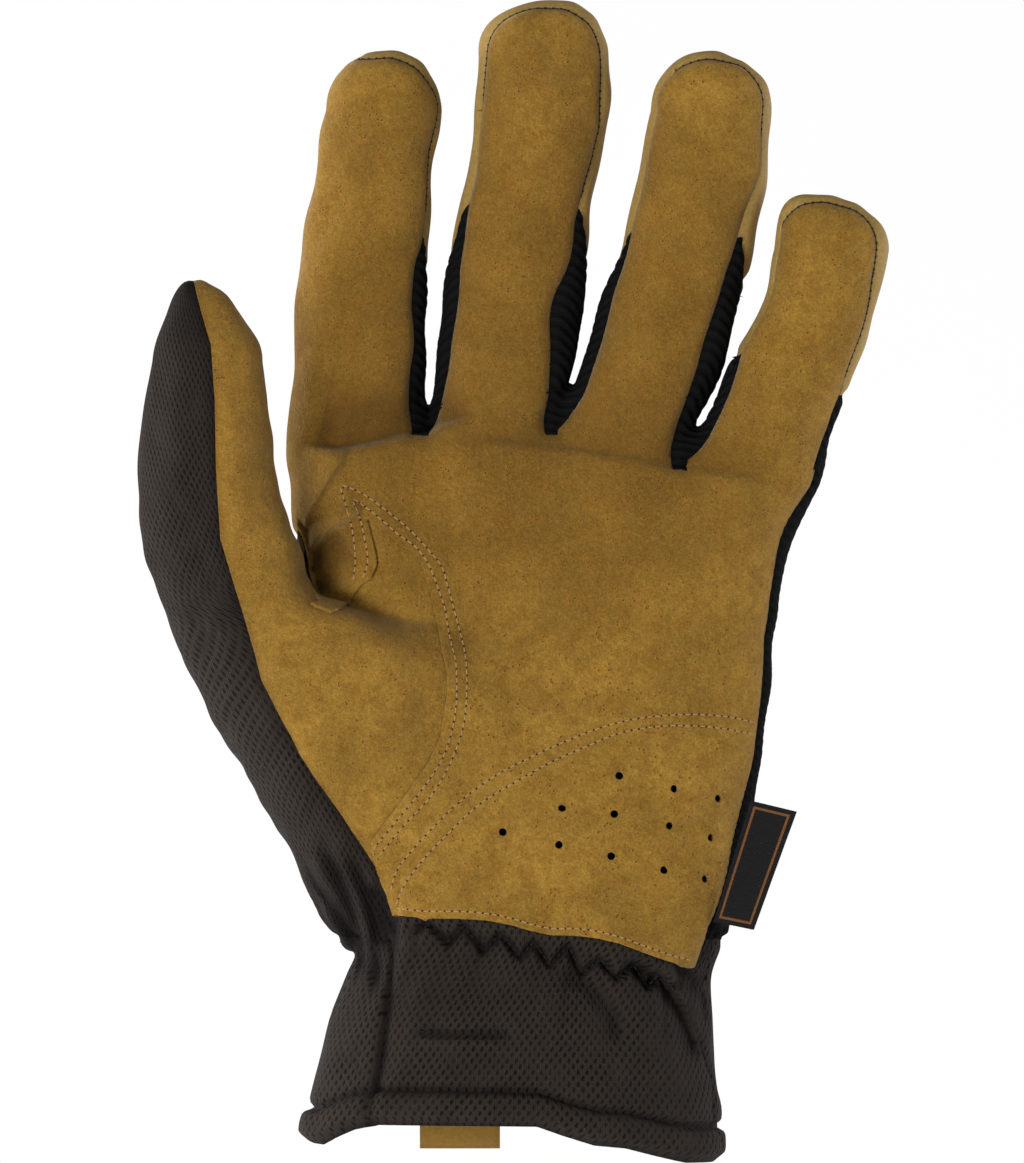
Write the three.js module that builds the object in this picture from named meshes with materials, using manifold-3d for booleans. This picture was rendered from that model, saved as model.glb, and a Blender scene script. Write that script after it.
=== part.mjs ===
// A work glove for the left hand: leather palm and fingers, knit back and cuff, stretch gussets.
// It keeps the shape that a hand gives it. The fingers point up +Z, the palm faces -Y, the thumb is towards -X.
// Millimetres. The origin is the middle of the wrist opening, in the plane of the hem.
import * as THREE from "three";
import { mergeVertices } from "three/addons/utils/BufferGeometryUtils.js";
import Module from "manifold-3d";

const wasm = await Module();
wasm.setup();

// Driving dimensions
const WALL = 1.8; // leather or knit with its lining
const HEM_WALL = 3.2; // the folded hem of the cuff
const SEAM_GAP = 0.35; // between neighbouring pieces
const SIDES = { finger: 14, fingerHollow: 10, thumb: 16, thumbHollow: 10, hand: 40 }; // of the sections
const TIP_STEPS = [32, 60, 90]; // degrees up the rounded end of a finger
const FAR = 120; // beyond the glove in every direction

// Fingers, from inside the palm up to where the tip starts to round off.
// z height, x middle of the finger, half its half width.
const FINGERS = {
  index: {
    tip: 12.3,
    curl: 9,
    drift: 0.5,
    rows: [
      { z: 121.8, x: -31.7, half: 12.9 },
      { z: 141.2, x: -32.8, half: 14.4 },
      { z: 149.8, x: -33.4, half: 14.9 },
      { z: 160.5, x: -33.1, half: 14.1 },
      { z: 183.8, x: -32.2, half: 13.9 },
      { z: 195.5, x: -31.1, half: 13.0 },
      { z: 207.1, x: -29.7, half: 12.5 },
      { z: 214.9, x: -28.8, half: 13.3 },
      { z: 218.7, x: -27.8, half: 13.2 },
    ],
  },
  middle: {
    tip: 11.9,
    curl: 11,
    drift: 0,
    rows: [
      { z: 121.8, x: -2.8, half: 12.9 },
      { z: 141.2, x: -4.5, half: 13.4 },
      { z: 149.8, x: -4.3, half: 14.6 },
      { z: 156.7, x: -2.9, half: 15.2 },
      { z: 179.9, x: 0.3, half: 15.0 },
      { z: 191.6, x: 1.5, half: 14.7 },
      { z: 203.2, x: 3.8, half: 14.1 },
      { z: 222.6, x: 6.5, half: 14.4 },
      { z: 230.4, x: 6.5, half: 14.0 },
    ],
  },
  ring: {
    tip: 12.5,
    curl: 10,
    drift: -1,
    rows: [
      { z: 117.4, x: 27.4, half: 12.9 },
      { z: 139.0, x: 23.5, half: 12.9 },
      { z: 149.8, x: 24.0, half: 15.2 },
      { z: 156.7, x: 27.1, half: 16.2 },
      { z: 179.9, x: 34.8, half: 14.8 },
      { z: 191.6, x: 37.9, half: 14.0 },
      { z: 203.2, x: 40.5, half: 13.8 },
      { z: 214.9, x: 42.3, half: 13.5 },
      { z: 218.7, x: 42.9, half: 13.0 },
    ],
  },
  little: {
    tip: 12.3,
    curl: 8,
    drift: -4.1,
    rows: [
      { z: 113.1, x: 40.3, half: 12.9 },
      { z: 130.4, x: 47.8, half: 12.9 },
      { z: 141.2, x: 52.6, half: 14.4 },
      { z: 148.9, x: 54.2, half: 13.9 },
      { z: 156.7, x: 57.5, half: 13.8 },
      { z: 168.3, x: 62.9, half: 13.6 },
      { z: 179.9, x: 66.9, half: 12.6 },
      { z: 188.6, x: 68.5, half: 12.0 },
    ],
  },
};
const FINGER_DEPTH = 0.78; // a finger's depth over its width
const KNUCKLE_Z = 150; // the curl of the fingers starts here

// Thumb and the ball of the thumb, turned so that its nail side is towards -X.
const THUMB = [
  { z: 40.0, x: -33.0, half: 3.0, y: 0, deep: 4.0 },
  { z: 46.3, x: -33.8, half: 7.8, y: 0, deep: 10.0 },
  { z: 65.3, x: -36.2, half: 15.1, y: -2, deep: 14.5 },
  { z: 84.3, x: -38.8, half: 24.1, y: -5, deep: 16.0 },
  { z: 93.7, x: -41.4, half: 26.7, y: -7, deep: 16.0 },
  { z: 103.2, x: -45.7, half: 26.5, y: -9, deep: 15.0 },
  { z: 112.7, x: -53.2, half: 22.8, y: -12, deep: 14.0 },
  { z: 122.2, x: -61.4, half: 17.7, y: -15, deep: 13.5 },
  { z: 131.7, x: -64.8, half: 16.1, y: -18, deep: 13.5 },
  { z: 148.9, x: -65.9, half: 13.8, y: -23, deep: 13.0 },
  { z: 164.4, x: -65.4, half: 11.7, y: -25, deep: 11.8 },
  { z: 172.2, x: -66.4, half: 9.1, y: -26, deep: 9.8 },
  { z: 178.0, x: -67.3, half: 5.6, y: -26, deep: 6.5 },
  { z: 181.5, x: -68.3, half: 2.0, y: -26, deep: 3.0 },
];

// Hand and cuff. gather is the depth of the pleats that the wrist elastic pulls in.
const HAND = [
  { z: -1.5, x: 0.0, half: 45.0, deep: 26.5, wall: HEM_WALL, gather: 0 },
  { z: 3.7, x: 0.3, half: 44.6, deep: 26.2, wall: HEM_WALL, gather: 0 },
  { z: 8.6, x: 0.5, half: 43.4, deep: 25.0, wall: WALL, gather: 0.15 },
  { z: 22.6, x: 1.4, half: 41.1, deep: 23.0, wall: WALL, gather: 0.5 },
  { z: 32.1, x: 3.3, half: 39.3, deep: 21.0, wall: WALL, gather: 1.0 },
  { z: 37.5, x: 5.1, half: 39.2, deep: 20.3, wall: WALL, gather: 1.4 },
  { z: 46.3, x: 5.3, half: 42.6, deep: 20.0, wall: WALL, gather: 0.5 },
  { z: 60.6, x: 5.6, half: 45.0, deep: 19.0, wall: WALL, gather: 0 },
  { z: 79.5, x: 6.2, half: 47.4, deep: 17.5, wall: WALL, gather: 0 },
  { z: 108.0, x: 6.4, half: 49.7, deep: 15.2, wall: WALL, gather: 0 },
  { z: 126.9, x: 6.8, half: 52.5, deep: 13.2, wall: WALL, gather: 0 },
  { z: 134.7, x: 7.8, half: 54.1, deep: 12.2, wall: WALL, gather: 0 },
  { z: 141.2, x: 8.6, half: 55.8, deep: 11.0, wall: WALL, gather: 0 },
];
const PALM_HOLLOW = { x: 8, z: 102, width: 20, height: 28, deep: 2.2 }; // the cup of the palm
const KNUCKLE_DOME = 9.3; // the hand closes this far above its last row, between the fingers
const KNUCKLE_SLOPE = 0.076; // and that edge falls towards the little finger
const GATHERS = 10;
const ROUNDNESS = { finger: 2.3, thumb: 2.1, hand: 2.5 }; // exponents of the superellipse sections

// The hem's front edge hangs lower at its two ends.
const HEM_DROP = { right: 7.5, rightFrom: 8, rightTo: 40, left: 4, leftFrom: 30, leftTo: 44 };

// The middle of each gap between two fingers.
const GAP_LINES = {
  indexMiddle: [
    { z: 130, x: -18.5 },
    { z: 160, x: -18.0 },
    { z: 180, x: -16.6 },
    { z: 200, x: -14.7 },
    { z: 219, x: -11.5 },
    { z: 250, x: -8.0 },
  ],
  middleRing: [
    { z: 130, x: 9.1 },
    { z: 150, x: 9.6 },
    { z: 162, x: 13.8 },
    { z: 180, x: 17.7 },
    { z: 200, x: 21.3 },
    { z: 219, x: 25.2 },
    { z: 250, x: 27.0 },
  ],
  ringLittle: [
    { z: 130, x: 37.0 },
    { z: 148, x: 39.5 },
    { z: 160, x: 44.6 },
    { z: 180, x: 51.9 },
    { z: 200, x: 56.9 },
    { z: 250, x: 63.0 },
  ],
};

// Seams. front and back are shares of the finger's half depth, measured from its middle.
const FINGER_SEAM = { front: -0.5, tipFront: -0.3, back: 0.5 };
const PALM_SEAM = { outerY: -6, indexY: 5 }; // where the palm leather ends at the two sides of the hand
const STRIP_BACK_Y = 7;
const GUSSET_TOP = { indexMiddle: 196.0, middleRing: 193.5, ringLittle: 184.0 };
const GUSSET_FOOT = { indexMiddle: 138, middleRing: 138, ringLittle: 132 };
const TIP_PIECE_FOOT = { index: 184, middle: 186, ring: 182, little: 166 };

// Seam between the leather and the knit of the thumb, as seen from the palm side.
const THUMB_SEAM = [
  [-68.5, 190],
  [-68.5, 182],
  [-64.6, 168],
  [-63.8, 156],
  [-63.6, 141],
  [-62.7, 126],
  [-58.8, 113],
  [-54.1, 96],
  [-45.9, 80],
  [-36.2, 65.7],
  [-30.6, 61.2],
];
// Edge of the palm leather over the ball of the thumb, from its foot up to its peak and down to the crotch.
const PALM_LAP = [
  [-24.5, 69.6],
  [-18.4, 77.8],
  [-15.0, 84.5],
  [-14.3, 92.0],
  [-14.8, 103.0],
  [-17.0, 111.0],
  [-19.0, 118.5],
  [-24.4, 124.3],
  [-31.2, 130.4],
  [-29.5, 122.0],
  [-31.0, 118.0],
  [-35.5, 114.0],
  [-39.0, 110.2],
  [-42.5, 111.6],
];
const CROTCH = [
  [-45.4, 121.5],
  [-48.2, 131.0],
  [-50.2, 150.0],
  [-50.2, 190.0],
];
// Foot of the palm leather over the gathered wrist.
const PALM_FOOT = [
  [-25.5, 45.6],
  [-11.6, 44.8],
  [-0.2, 43.4],
  [8.4, 41.2],
  [18.4, 40.5],
  [28.4, 37.3],
  [39.4, 34.1],
];
// Outer edge of the palm leather, from its foot up to where it turns out of sight.
const PALM_OUTER_EDGE = [
  { z: 20.0, x: 37.0 },
  { z: 34.1, x: 39.2 },
  { z: 43.1, x: 43.3 },
  { z: 56.7, x: 47.0 },
  { z: 73.7, x: 52.0 },
  { z: 86.0, x: 53.2 },
  { z: 98.0, x: 60.0 },
  { z: 137.0, x: 90.0 },
];
const WRIST_Z = 40; // the cuff starts here, beside and behind the palm leather
const CUFF_SEAMS = { leftTop: -25.6, leftFoot: -30.8, rightTop: 37.0, rightFoot: 42.5 };

// Vent holes through the heel of the palm.
const VENT_RADIUS = 0.95;
const VENT_SIDES = 6;
const VENTS = [
  [22.9, 75.4],
  [34.6, 72.7],
  [44.3, 70.4],
  [10.5, 68.5],
  [21.8, 67.3],
  [33.6, 64.7],
  [42.9, 62.0],
  [-2.2, 63.3],
  [10.0, 60.6],
  [21.1, 58.3],
  [32.5, 55.1],
  [41.4, 53.2],
];

// Pull tab: a leather strap folded into a flat loop, inside the front of the cuff.
const TAB = { width: 17.2, high: 24, below: 4.0, strap: 1.3, between: 0.7, x: -11.4, y: -20.6, lean: 5.5 };
// Woven tag: its four corners as seen from the palm side, and its plane.
const TAG_CORNERS = [
  [51.5, 69.7],
  [61.0, 67.6],
  [51.8, 42.2],
  [43.6, 43.7],
];
const TAG = { thick: 0.9, y: -12.4, turn: -8 };

const COLOURS = {
  suede: { color: 0x8a662b, roughness: 0.95 },
  smooth: { color: 0x9c7e43, roughness: 0.7 },
  knit: { color: 0x2e2723, roughness: 0.9 },
  stretch: { color: 0x131312, roughness: 0.85 },
  tag: { color: 0x16171a, roughness: 0.7 },
};

// Value of a column of a table at a height, on straight lines between its rows.
function at(rows, z, column) {
  const last = rows.length - 1;
  if (z <= rows[0].z) return rows[0][column];
  if (z >= rows[last].z) return rows[last][column];
  const i = rows.findIndex((row) => row.z > z);
  const share = (z - rows[i - 1].z) / (rows[i].z - rows[i - 1].z);
  return THREE.MathUtils.lerp(rows[i - 1][column], rows[i][column], share);
}

// Rings of a closed form. Each ring gives a point for an angle and a share of the radius.
function ringForm(rings, sides) {
  const form = new THREE.CylinderGeometry(1, 1, 1, sides, rings.length - 1);
  const position = form.getAttribute("position");
  const step = 1 / (rings.length - 1);
  for (let i = 0; i < position.count; i++) {
    const ring = rings[Math.round((position.getY(i) + 0.5) / step)];
    const share = Math.min(1, Math.hypot(position.getX(i), position.getZ(i)));
    const angle = Math.atan2(-position.getZ(i), position.getX(i));
    const point = ring(angle, share > 0.5 ? 1 : 0);
    position.setXYZ(i, point.x, point.y, point.z);
  }
  return solid(form);
}

// A three.js geometry as a manifold solid.
function solid(geometry) {
  const plain = geometry.index ? geometry.toNonIndexed() : geometry.clone();
  plain.deleteAttribute("normal");
  plain.deleteAttribute("uv");
  const merged = mergeVertices(plain, 1e-4);
  const made = new wasm.Manifold(
    new wasm.Mesh({
      numProp: 3,
      vertProperties: merged.getAttribute("position").array,
      triVerts: new Uint32Array(merged.index.array),
    }),
  );
  if (made.volume() < 0) throw new Error("a form is inside out");
  return made;
}

// Superellipse section of a ring at an angle.
function sectionPoint(ring, angle, share, roundness) {
  const c = Math.cos(angle);
  const s = Math.sin(angle);
  const power = 2 / roundness;
  const pleat = ring.gather ? ring.gather * Math.cos(GATHERS * angle) : 0;
  return {
    x: ring.x + share * Math.sign(c) * Math.abs(c) ** power * (ring.half + pleat),
    y: ring.y + share * Math.sign(s) * Math.abs(s) ** power * (ring.deep + pleat),
    z: ring.z,
  };
}

// The rings of a rounded end that rises above a ring.
function roundEnd(ring, height, drift) {
  return TIP_STEPS.map((degrees) => {
    const angle = THREE.MathUtils.degToRad(degrees);
    const shrink = Math.max(Math.cos(angle), 0.02);
    const rise = Math.sin(angle);
    return {
      ...ring,
      z: ring.z + height * rise,
      x: ring.x + drift * rise * rise,
      half: ring.half * shrink,
      deep: ring.deep * shrink,
    };
  });
}

// How far the fingers bend towards the palm at a height.
function curlAt(finger, z) {
  const top = finger.rows.at(-1).z + finger.tip;
  const share = Math.max(0, (z - KNUCKLE_Z) / (top - KNUCKLE_Z));
  return -finger.curl * share * share;
}

function fingerForm(finger, inset) {
  const rows = finger.rows.map((row) => ({
    z: row.z,
    x: row.x,
    half: row.half - inset,
    deep: row.half * FINGER_DEPTH - inset,
  }));
  const rings = [...rows, ...roundEnd(rows.at(-1), finger.tip - inset, finger.drift)];
  return ringForm(
    rings.map((ring) => (angle, share) => {
      const y = curlAt(finger, ring.z);
      return sectionPoint({ ...ring, y }, angle, share, ROUNDNESS.finger);
    }),
    inset > 0 ? SIDES.fingerHollow : SIDES.finger,
  );
}

function thumbForm(inset) {
  const rows = THUMB.map((row, i) => {
    const end = i === 0 ? inset : i === THUMB.length - 1 ? -inset : 0;
    return {
      ...row,
      z: row.z + end,
      half: Math.max(row.half - inset, 0.4),
      deep: Math.max(row.deep - inset, 0.4),
    };
  });
  return ringForm(
    rows.map((ring) => (angle, share) => sectionPoint(ring, angle, share, ROUNDNESS.thumb)),
    inset > 0 ? SIDES.thumbHollow : SIDES.thumb,
  );
}

// How far the hem hangs below its plane, at a point of its front edge.
function hemDrop(x, y) {
  const front = THREE.MathUtils.smoothstep(-y, -4, 10);
  const right = THREE.MathUtils.smoothstep(x, HEM_DROP.rightFrom, HEM_DROP.rightTo);
  const left = THREE.MathUtils.smoothstep(-x, HEM_DROP.leftFrom, HEM_DROP.leftTo);
  return front * (HEM_DROP.right * right + HEM_DROP.left * left);
}

// How far the middle of the palm is hollowed at a point.
function palmHollow(x, z) {
  const across = (x - PALM_HOLLOW.x) / PALM_HOLLOW.width;
  const up = (z - PALM_HOLLOW.z) / PALM_HOLLOW.height;
  return PALM_HOLLOW.deep * Math.exp(-(across * across + up * up));
}

// The hand and cuff, set in by walls walls and a margin. What is set in is open at the hem.
function handForm(walls, margin) {
  const rows = HAND.map((row) => ({
    ...row,
    y: 0,
    half: row.half - walls * row.wall - margin,
    deep: row.deep - walls * row.wall - margin,
  }));
  const dome = roundEnd(rows.at(-1), KNUCKLE_DOME - walls * WALL - margin, 0);
  const mouth = walls > 0 ? [{ ...rows[0], z: rows[0].z - 20 }] : [];
  const rings = [...mouth, ...rows, ...dome];
  return ringForm(
    rings.map((ring) => (angle, share) => {
      const point = sectionPoint(ring, angle, share, ROUNDNESS.hand);
      const low = THREE.MathUtils.smoothstep(-point.z, -12, 0);
      const high = THREE.MathUtils.smoothstep(point.z, 126, 141);
      point.z -= low * hemDrop(point.x, point.y) + high * KNUCKLE_SLOPE * (point.x - ring.x);
      if (point.y < 0) point.y += palmHollow(point.x, point.z);
      return point;
    }),
    SIDES.hand,
  );
}

// A block whose four sides follow a table: left, right, front and back at each height.
function block(rows) {
  return ringForm(
    rows.map((row) => (angle, share) => {
      if (share === 0) return { x: (row.left + row.right) / 2, y: (row.front + row.back) / 2, z: row.z };
      const corner = angle - Math.PI / 4;
      const x = Math.cos(corner) > 0 ? row.right : row.left;
      const y = Math.sin(corner) > 0 ? row.back : row.front;
      return { x, y, z: row.z };
    }),
    4,
  );
}

// An outline seen from the palm side, as a solid between two depths.
function prism(outline, front, back) {
  const shape = new THREE.Shape(outline.map(([x, z]) => new THREE.Vector2(x, z)));
  const form = new THREE.ExtrudeGeometry(shape, { depth: back - front, bevelEnabled: false });
  form.rotateX(Math.PI / 2);
  form.translate(0, back, 0);
  return solid(form);
}

// An outline moved outwards by a margin.
function grown(outline, margin) {
  const points = outline.map(([x, z]) => new THREE.Vector2(x, z));
  const turn = Math.sign(THREE.ShapeUtils.area(points));
  return points.map((point, i) => {
    const before = point.clone().sub(points.at(i - 1)).normalize();
    const after = points[(i + 1) % points.length].clone().sub(point).normalize();
    const corner = Math.max(Math.sqrt((1 + before.dot(after)) / 2), 0.4);
    const out = before.add(after).normalize().multiplyScalar((turn * margin) / corner);
    return [point.x + out.y, point.y - out.x];
  });
}

// Outlines between depths, all grown by a margin and joined.
function prisms(parts, margin) {
  return join(
    parts.map(({ outline, front, back }) => prism(grown(outline, margin), front - margin, back + margin)),
  );
}

// The largest of the bodies that a cut leaves.
function largest(made) {
  return made.decompose().reduce((a, b) => (a.volume() >= b.volume() ? a : b));
}

function cut(made, ...tools) {
  return tools.reduce((left, tool) => left.subtract(tool), made);
}

function join(parts) {
  return parts.reduce((a, b) => a.add(b));
}

// Heights at which the blocks along a finger have their rows.
function fingerHeights(finger, from, to) {
  const inside = finger.rows.map((row) => row.z).filter((z) => z > from + 1 && z < to - 1);
  return [from, ...inside, to];
}

function halfDepth(finger, z) {
  return at(finger.rows, z, "half") * FINGER_DEPTH;
}

// Hollow glove, before it is cut into its pieces
const fingers = Object.values(FINGERS);
const outside = join([handForm(0, 0), thumbForm(0), ...fingers.map((finger) => fingerForm(finger, 0))]);
const inside = join([handForm(1, 0), thumbForm(WALL), ...fingers.map((finger) => fingerForm(finger, WALL))]);
const shell = outside.subtract(inside);

// Regions. Each takes a margin, so that a neighbour can be cut back from it by the seam gap.
const CELLS = {
  index: [null, "indexMiddle"],
  middle: ["indexMiddle", "middleRing"],
  ring: ["middleRing", "ringLittle"],
  little: ["ringLittle", null],
};

function cellSide(name, z, outer) {
  return name ? at(GAP_LINES[name], z, "x") : outer;
}

function palmRegion(margin) {
  const blocks = [
    block(
      PALM_OUTER_EDGE.map(({ z, x }) => ({
        z,
        left: 0,
        right: x + margin,
        front: -FAR,
        back: PALM_SEAM.outerY + margin,
      })),
    ),
    block([
      { z: -30, left: -FAR, right: 1, front: -FAR, back: PALM_SEAM.indexY + margin },
      { z: 140, left: -FAR, right: 1, front: -FAR, back: PALM_SEAM.indexY + margin },
    ]),
  ];
  for (const [name, finger] of Object.entries(FINGERS)) {
    const [left, right] = CELLS[name];
    const top = finger.rows.at(-1).z;
    const seam = (z) => {
      const high = THREE.MathUtils.smoothstep(z, TIP_PIECE_FOOT[name], top);
      const share = THREE.MathUtils.lerp(FINGER_SEAM.front, FINGER_SEAM.tipFront, high);
      return curlAt(finger, z) + share * halfDepth(finger, z) + margin;
    };
    const heights = [...fingerHeights(finger, 128, top), top + finger.tip + 5];
    blocks.push(
      block(
        heights.map((z) => ({
          z,
          left: cellSide(left, z, -FAR),
          right: cellSide(right, z, FAR),
          front: -FAR,
          back: seam(z),
        })),
      ),
    );
  }
  // The leather wraps round the outer side of the index finger.
  const index = FINGERS.index;
  blocks.push(
    block(
      fingerHeights(index, 136, 206).map((z) => ({
        z,
        left: -FAR,
        right: at(index.rows, z, "x"),
        front: -FAR,
        back: curlAt(index, z) + THREE.MathUtils.lerp(0.4, -0.3, (z - 136) / 70) * halfDepth(index, z) + margin,
      })),
    ),
  );
  return join(blocks);
}

// Stretch gusset up the facing sides of two fingers and round the crotch between them.
function gussetRegion(gap, leftFinger, rightFinger, margin) {
  const top = GUSSET_TOP[gap];
  const foot = GUSSET_FOOT[gap];
  return join(
    [leftFinger, rightFinger].map((finger) => {
      const onRight = finger === rightFinger;
      return block(
        [...fingerHeights(finger, foot, top - 12), top].map((z) => {
          const taper = 1 - THREE.MathUtils.smoothstep(z, top - 24, top + 1);
          const middle = curlAt(finger, z);
          const depth = halfDepth(finger, z) * taper;
          const axis = at(finger.rows, z, "x");
          const gapX = at(GAP_LINES[gap], z, "x");
          return {
            z: z === foot ? z - margin : z,
            left: onRight ? gapX - 0.5 : axis,
            right: onRight ? axis : gapX + 0.5,
            front: middle + (FINGER_SEAM.front - 0.3) * depth - margin,
            back: middle + FINGER_SEAM.back * depth + margin,
          };
        }),
      );
    }),
  );
}

function thumbLeatherRegion(margin) {
  const front = [...THUMB_SEAM, ...PALM_LAP, ...CROTCH];
  const back = [...THUMB_SEAM.slice(0, 6), [-57.0, 114], [-42.0, 108], ...CROTCH];
  return prisms(
    [
      { outline: front, front: -FAR, back: -8 },
      { outline: back, front: -8.5, back: FAR },
    ],
    margin,
  );
}

function thumbKnitRegion(margin) {
  const front = [[-FAR, 190], ...THUMB_SEAM, [-25.5, 46], [-25.5, 30], [-FAR, 30]];
  const back = [
    [-FAR, 190],
    [-50, 190],
    [-50, 150],
    [-47.5, 131],
    [-42, 114],
    [-34, 90],
    [-31, 60],
    [-30, 30],
    [-FAR, 30],
  ];
  return prisms(
    [
      { outline: front, front: -FAR, back: 0 },
      { outline: back, front: -0.5, back: FAR },
    ],
    margin,
  );
}

function cuffRegion(margin) {
  const below = [
    [FAR, -FAR],
    [-FAR, -FAR],
  ];
  const front = [[-FAR, WRIST_Z], [-30, WRIST_Z], ...PALM_FOOT, [42, WRIST_Z], [FAR, WRIST_Z], ...below];
  const back = [[-FAR, WRIST_Z], [FAR, WRIST_Z], ...below];
  return prisms(
    [
      { outline: front, front: -FAR, back: PALM_SEAM.outerY },
      { outline: back, front: PALM_SEAM.outerY - 0.5, back: FAR },
    ],
    margin,
  );
}

function cuffFrontRegion(margin) {
  const { leftTop, leftFoot, rightTop, rightFoot } = CUFF_SEAMS;
  const outline = [
    [leftTop, 50],
    [rightTop, 50],
    [rightFoot, -30],
    [leftFoot, -30],
  ];
  return prisms([{ outline, front: -FAR, back: -2 }], margin);
}

function stripRegion(margin) {
  return block([
    { z: 36, left: 20, right: FAR, front: PALM_SEAM.outerY - 6, back: STRIP_BACK_Y + margin },
    { z: 136, left: 30, right: FAR, front: PALM_SEAM.outerY - 6, back: STRIP_BACK_Y + margin },
    { z: 146, left: 54, right: FAR, front: PALM_SEAM.outerY - 2, back: 4 + margin },
    { z: 156, left: 60, right: FAR, front: -5, back: -2 + margin },
  ]);
}

function tipRegion(name, margin) {
  const finger = FINGERS[name];
  const [left, right] = CELLS[name];
  const foot = TIP_PIECE_FOOT[name] - margin;
  const top = finger.rows.at(-1).z + finger.tip + 5;
  return block(
    fingerHeights(finger, foot, top).map((z) => ({
      z,
      left: cellSide(left, z, -FAR),
      right: cellSide(right, z, FAR),
      front: -FAR,
      back: FAR,
    })),
  );
}

const GUSSETS = {
  indexMiddle: ["index", "middle"],
  middleRing: ["middle", "ring"],
  ringLittle: ["ring", "little"],
};

function gussetOf(gap, margin) {
  const [left, right] = GUSSETS[gap];
  return gussetRegion(gap, FINGERS[left], FINGERS[right], margin);
}

// Pieces cut from the shell
const gussetNames = Object.keys(GUSSETS);
const fingerNames = Object.keys(FINGERS);
const cuffPlus = cuffRegion(SEAM_GAP);
const thumbPlus = thumbLeatherRegion(SEAM_GAP).add(thumbKnitRegion(SEAM_GAP));
const palmPlus = palmRegion(SEAM_GAP);
const gussetsPlus = join(gussetNames.map((gap) => gussetOf(gap, SEAM_GAP)));
const tipsPlus = join(fingerNames.map((name) => tipRegion(name, SEAM_GAP)));
const stripPlus = stripRegion(SEAM_GAP);

function vents() {
  return VENTS.map(([x, z]) => {
    const drill = new THREE.CylinderGeometry(VENT_RADIUS, VENT_RADIUS, 30, VENT_SIDES);
    drill.translate(x, -22, z);
    return solid(drill);
  });
}

// The strap's loop: an upright flat ring, seen from the side, with a round fold at its foot.
function pullTab() {
  const outer = TAB.strap + TAB.between / 2;
  const inner = TAB.between / 2;
  const profile = new THREE.Shape();
  profile.moveTo(-outer, TAB.high);
  profile.lineTo(-outer, outer);
  profile.absarc(0, outer, outer, Math.PI, 2 * Math.PI, false);
  profile.lineTo(outer, TAB.high);
  profile.lineTo(inner, TAB.high);
  profile.lineTo(inner, outer);
  profile.absarc(0, outer, inner, 2 * Math.PI, Math.PI, true);
  profile.lineTo(-inner, TAB.high);
  profile.closePath();
  const form = new THREE.ExtrudeGeometry(profile, { depth: TAB.width, bevelEnabled: false, curveSegments: 5 });
  form.rotateX(Math.PI / 2);
  form.rotateZ(Math.PI / 2);
  form.translate(-TAB.width / 2, 0, 0);
  form.rotateX(THREE.MathUtils.degToRad(-TAB.lean));
  form.translate(TAB.x, TAB.y, -TAB.below);
  return solid(form).intersect(handForm(1, SEAM_GAP));
}

function tag() {
  const left = TAG_CORNERS.at(-1)[0];
  const form = new THREE.ExtrudeGeometry(
    new THREE.Shape(TAG_CORNERS.map(([x, z]) => new THREE.Vector2(x - left, z))),
    { depth: TAG.thick, bevelEnabled: false },
  );
  form.rotateX(Math.PI / 2);
  form.rotateZ(THREE.MathUtils.degToRad(TAG.turn));
  form.translate(left, TAG.y, 0);
  return cut(solid(form), handForm(0, -SEAM_GAP));
}

const pieces = {
  palm_leather: ["suede", cut(shell.intersect(palmRegion(0)), thumbPlus, cuffPlus, ...vents())],
  thumb_leather: ["suede", cut(shell.intersect(thumbLeatherRegion(0)), cuffPlus)],
  thumb_knit: ["knit", cut(shell.intersect(thumbKnitRegion(0)), thumbLeatherRegion(SEAM_GAP), cuffPlus)],
  back_knit: ["knit", cut(shell, palmPlus, thumbPlus, gussetsPlus, tipsPlus, stripPlus, cuffPlus)],
  side_strip: ["stretch", cut(shell.intersect(stripRegion(0)), palmPlus, cuffPlus)],
  cuff_front: ["knit", shell.intersect(cuffRegion(0)).intersect(cuffFrontRegion(0))],
  cuff_back: ["knit", cut(shell.intersect(cuffRegion(0)), cuffFrontRegion(SEAM_GAP))],
  pull_tab: ["smooth", pullTab()],
  label: ["tag", tag()],
};
for (const gap of gussetNames) {
  const [left, right] = GUSSETS[gap];
  pieces[`gusset_${left}_${right}`] = ["stretch", cut(shell.intersect(gussetOf(gap, 0)), palmPlus)];
}
for (const name of fingerNames) {
  pieces[`${name}_tip`] = ["smooth", cut(shell.intersect(tipRegion(name, 0)), palmPlus, gussetsPlus)];
}

// Mesh of a manifold solid
function geometryOf(made) {
  const mesh = made.getMesh();
  const geometry = new THREE.BufferGeometry();
  geometry.setAttribute("position", new THREE.Float32BufferAttribute(mesh.vertProperties, 3));
  geometry.setIndex(Array.from(mesh.triVerts));
  geometry.computeVertexNormals();
  return geometry;
}

const glove = new THREE.Group();
glove.name = "work_glove";
for (const [name, [colour, made]] of Object.entries(pieces)) {
  const mesh = new THREE.Mesh(geometryOf(largest(made)), new THREE.MeshStandardMaterial(COLOURS[colour]));
  mesh.name = name;
  glove.add(mesh);
}

export default glove;
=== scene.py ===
"""A work glove for the left hand: suede palm, stretch gussets, mesh knit back and a gathered slip-on cuff.

The skin of the glove is one smooth surface, worked out from the sections of the hand, the fingers and the
thumb. It is cut along its seams into the panels that the real glove is sewn from. Tables are in millimetres
unless they say otherwise, and the meshes are in metres.
"""

import math
from collections import namedtuple
from functools import cache

import bmesh
import bpy
import numpy as np
from bpy.props import FloatProperty, FloatVectorProperty, PointerProperty
from bpy.types import Operator, Panel, PropertyGroup
from mathutils import Matrix, Vector
from mathutils.bvhtree import BVHTree
from mathutils.kdtree import KDTree


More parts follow.
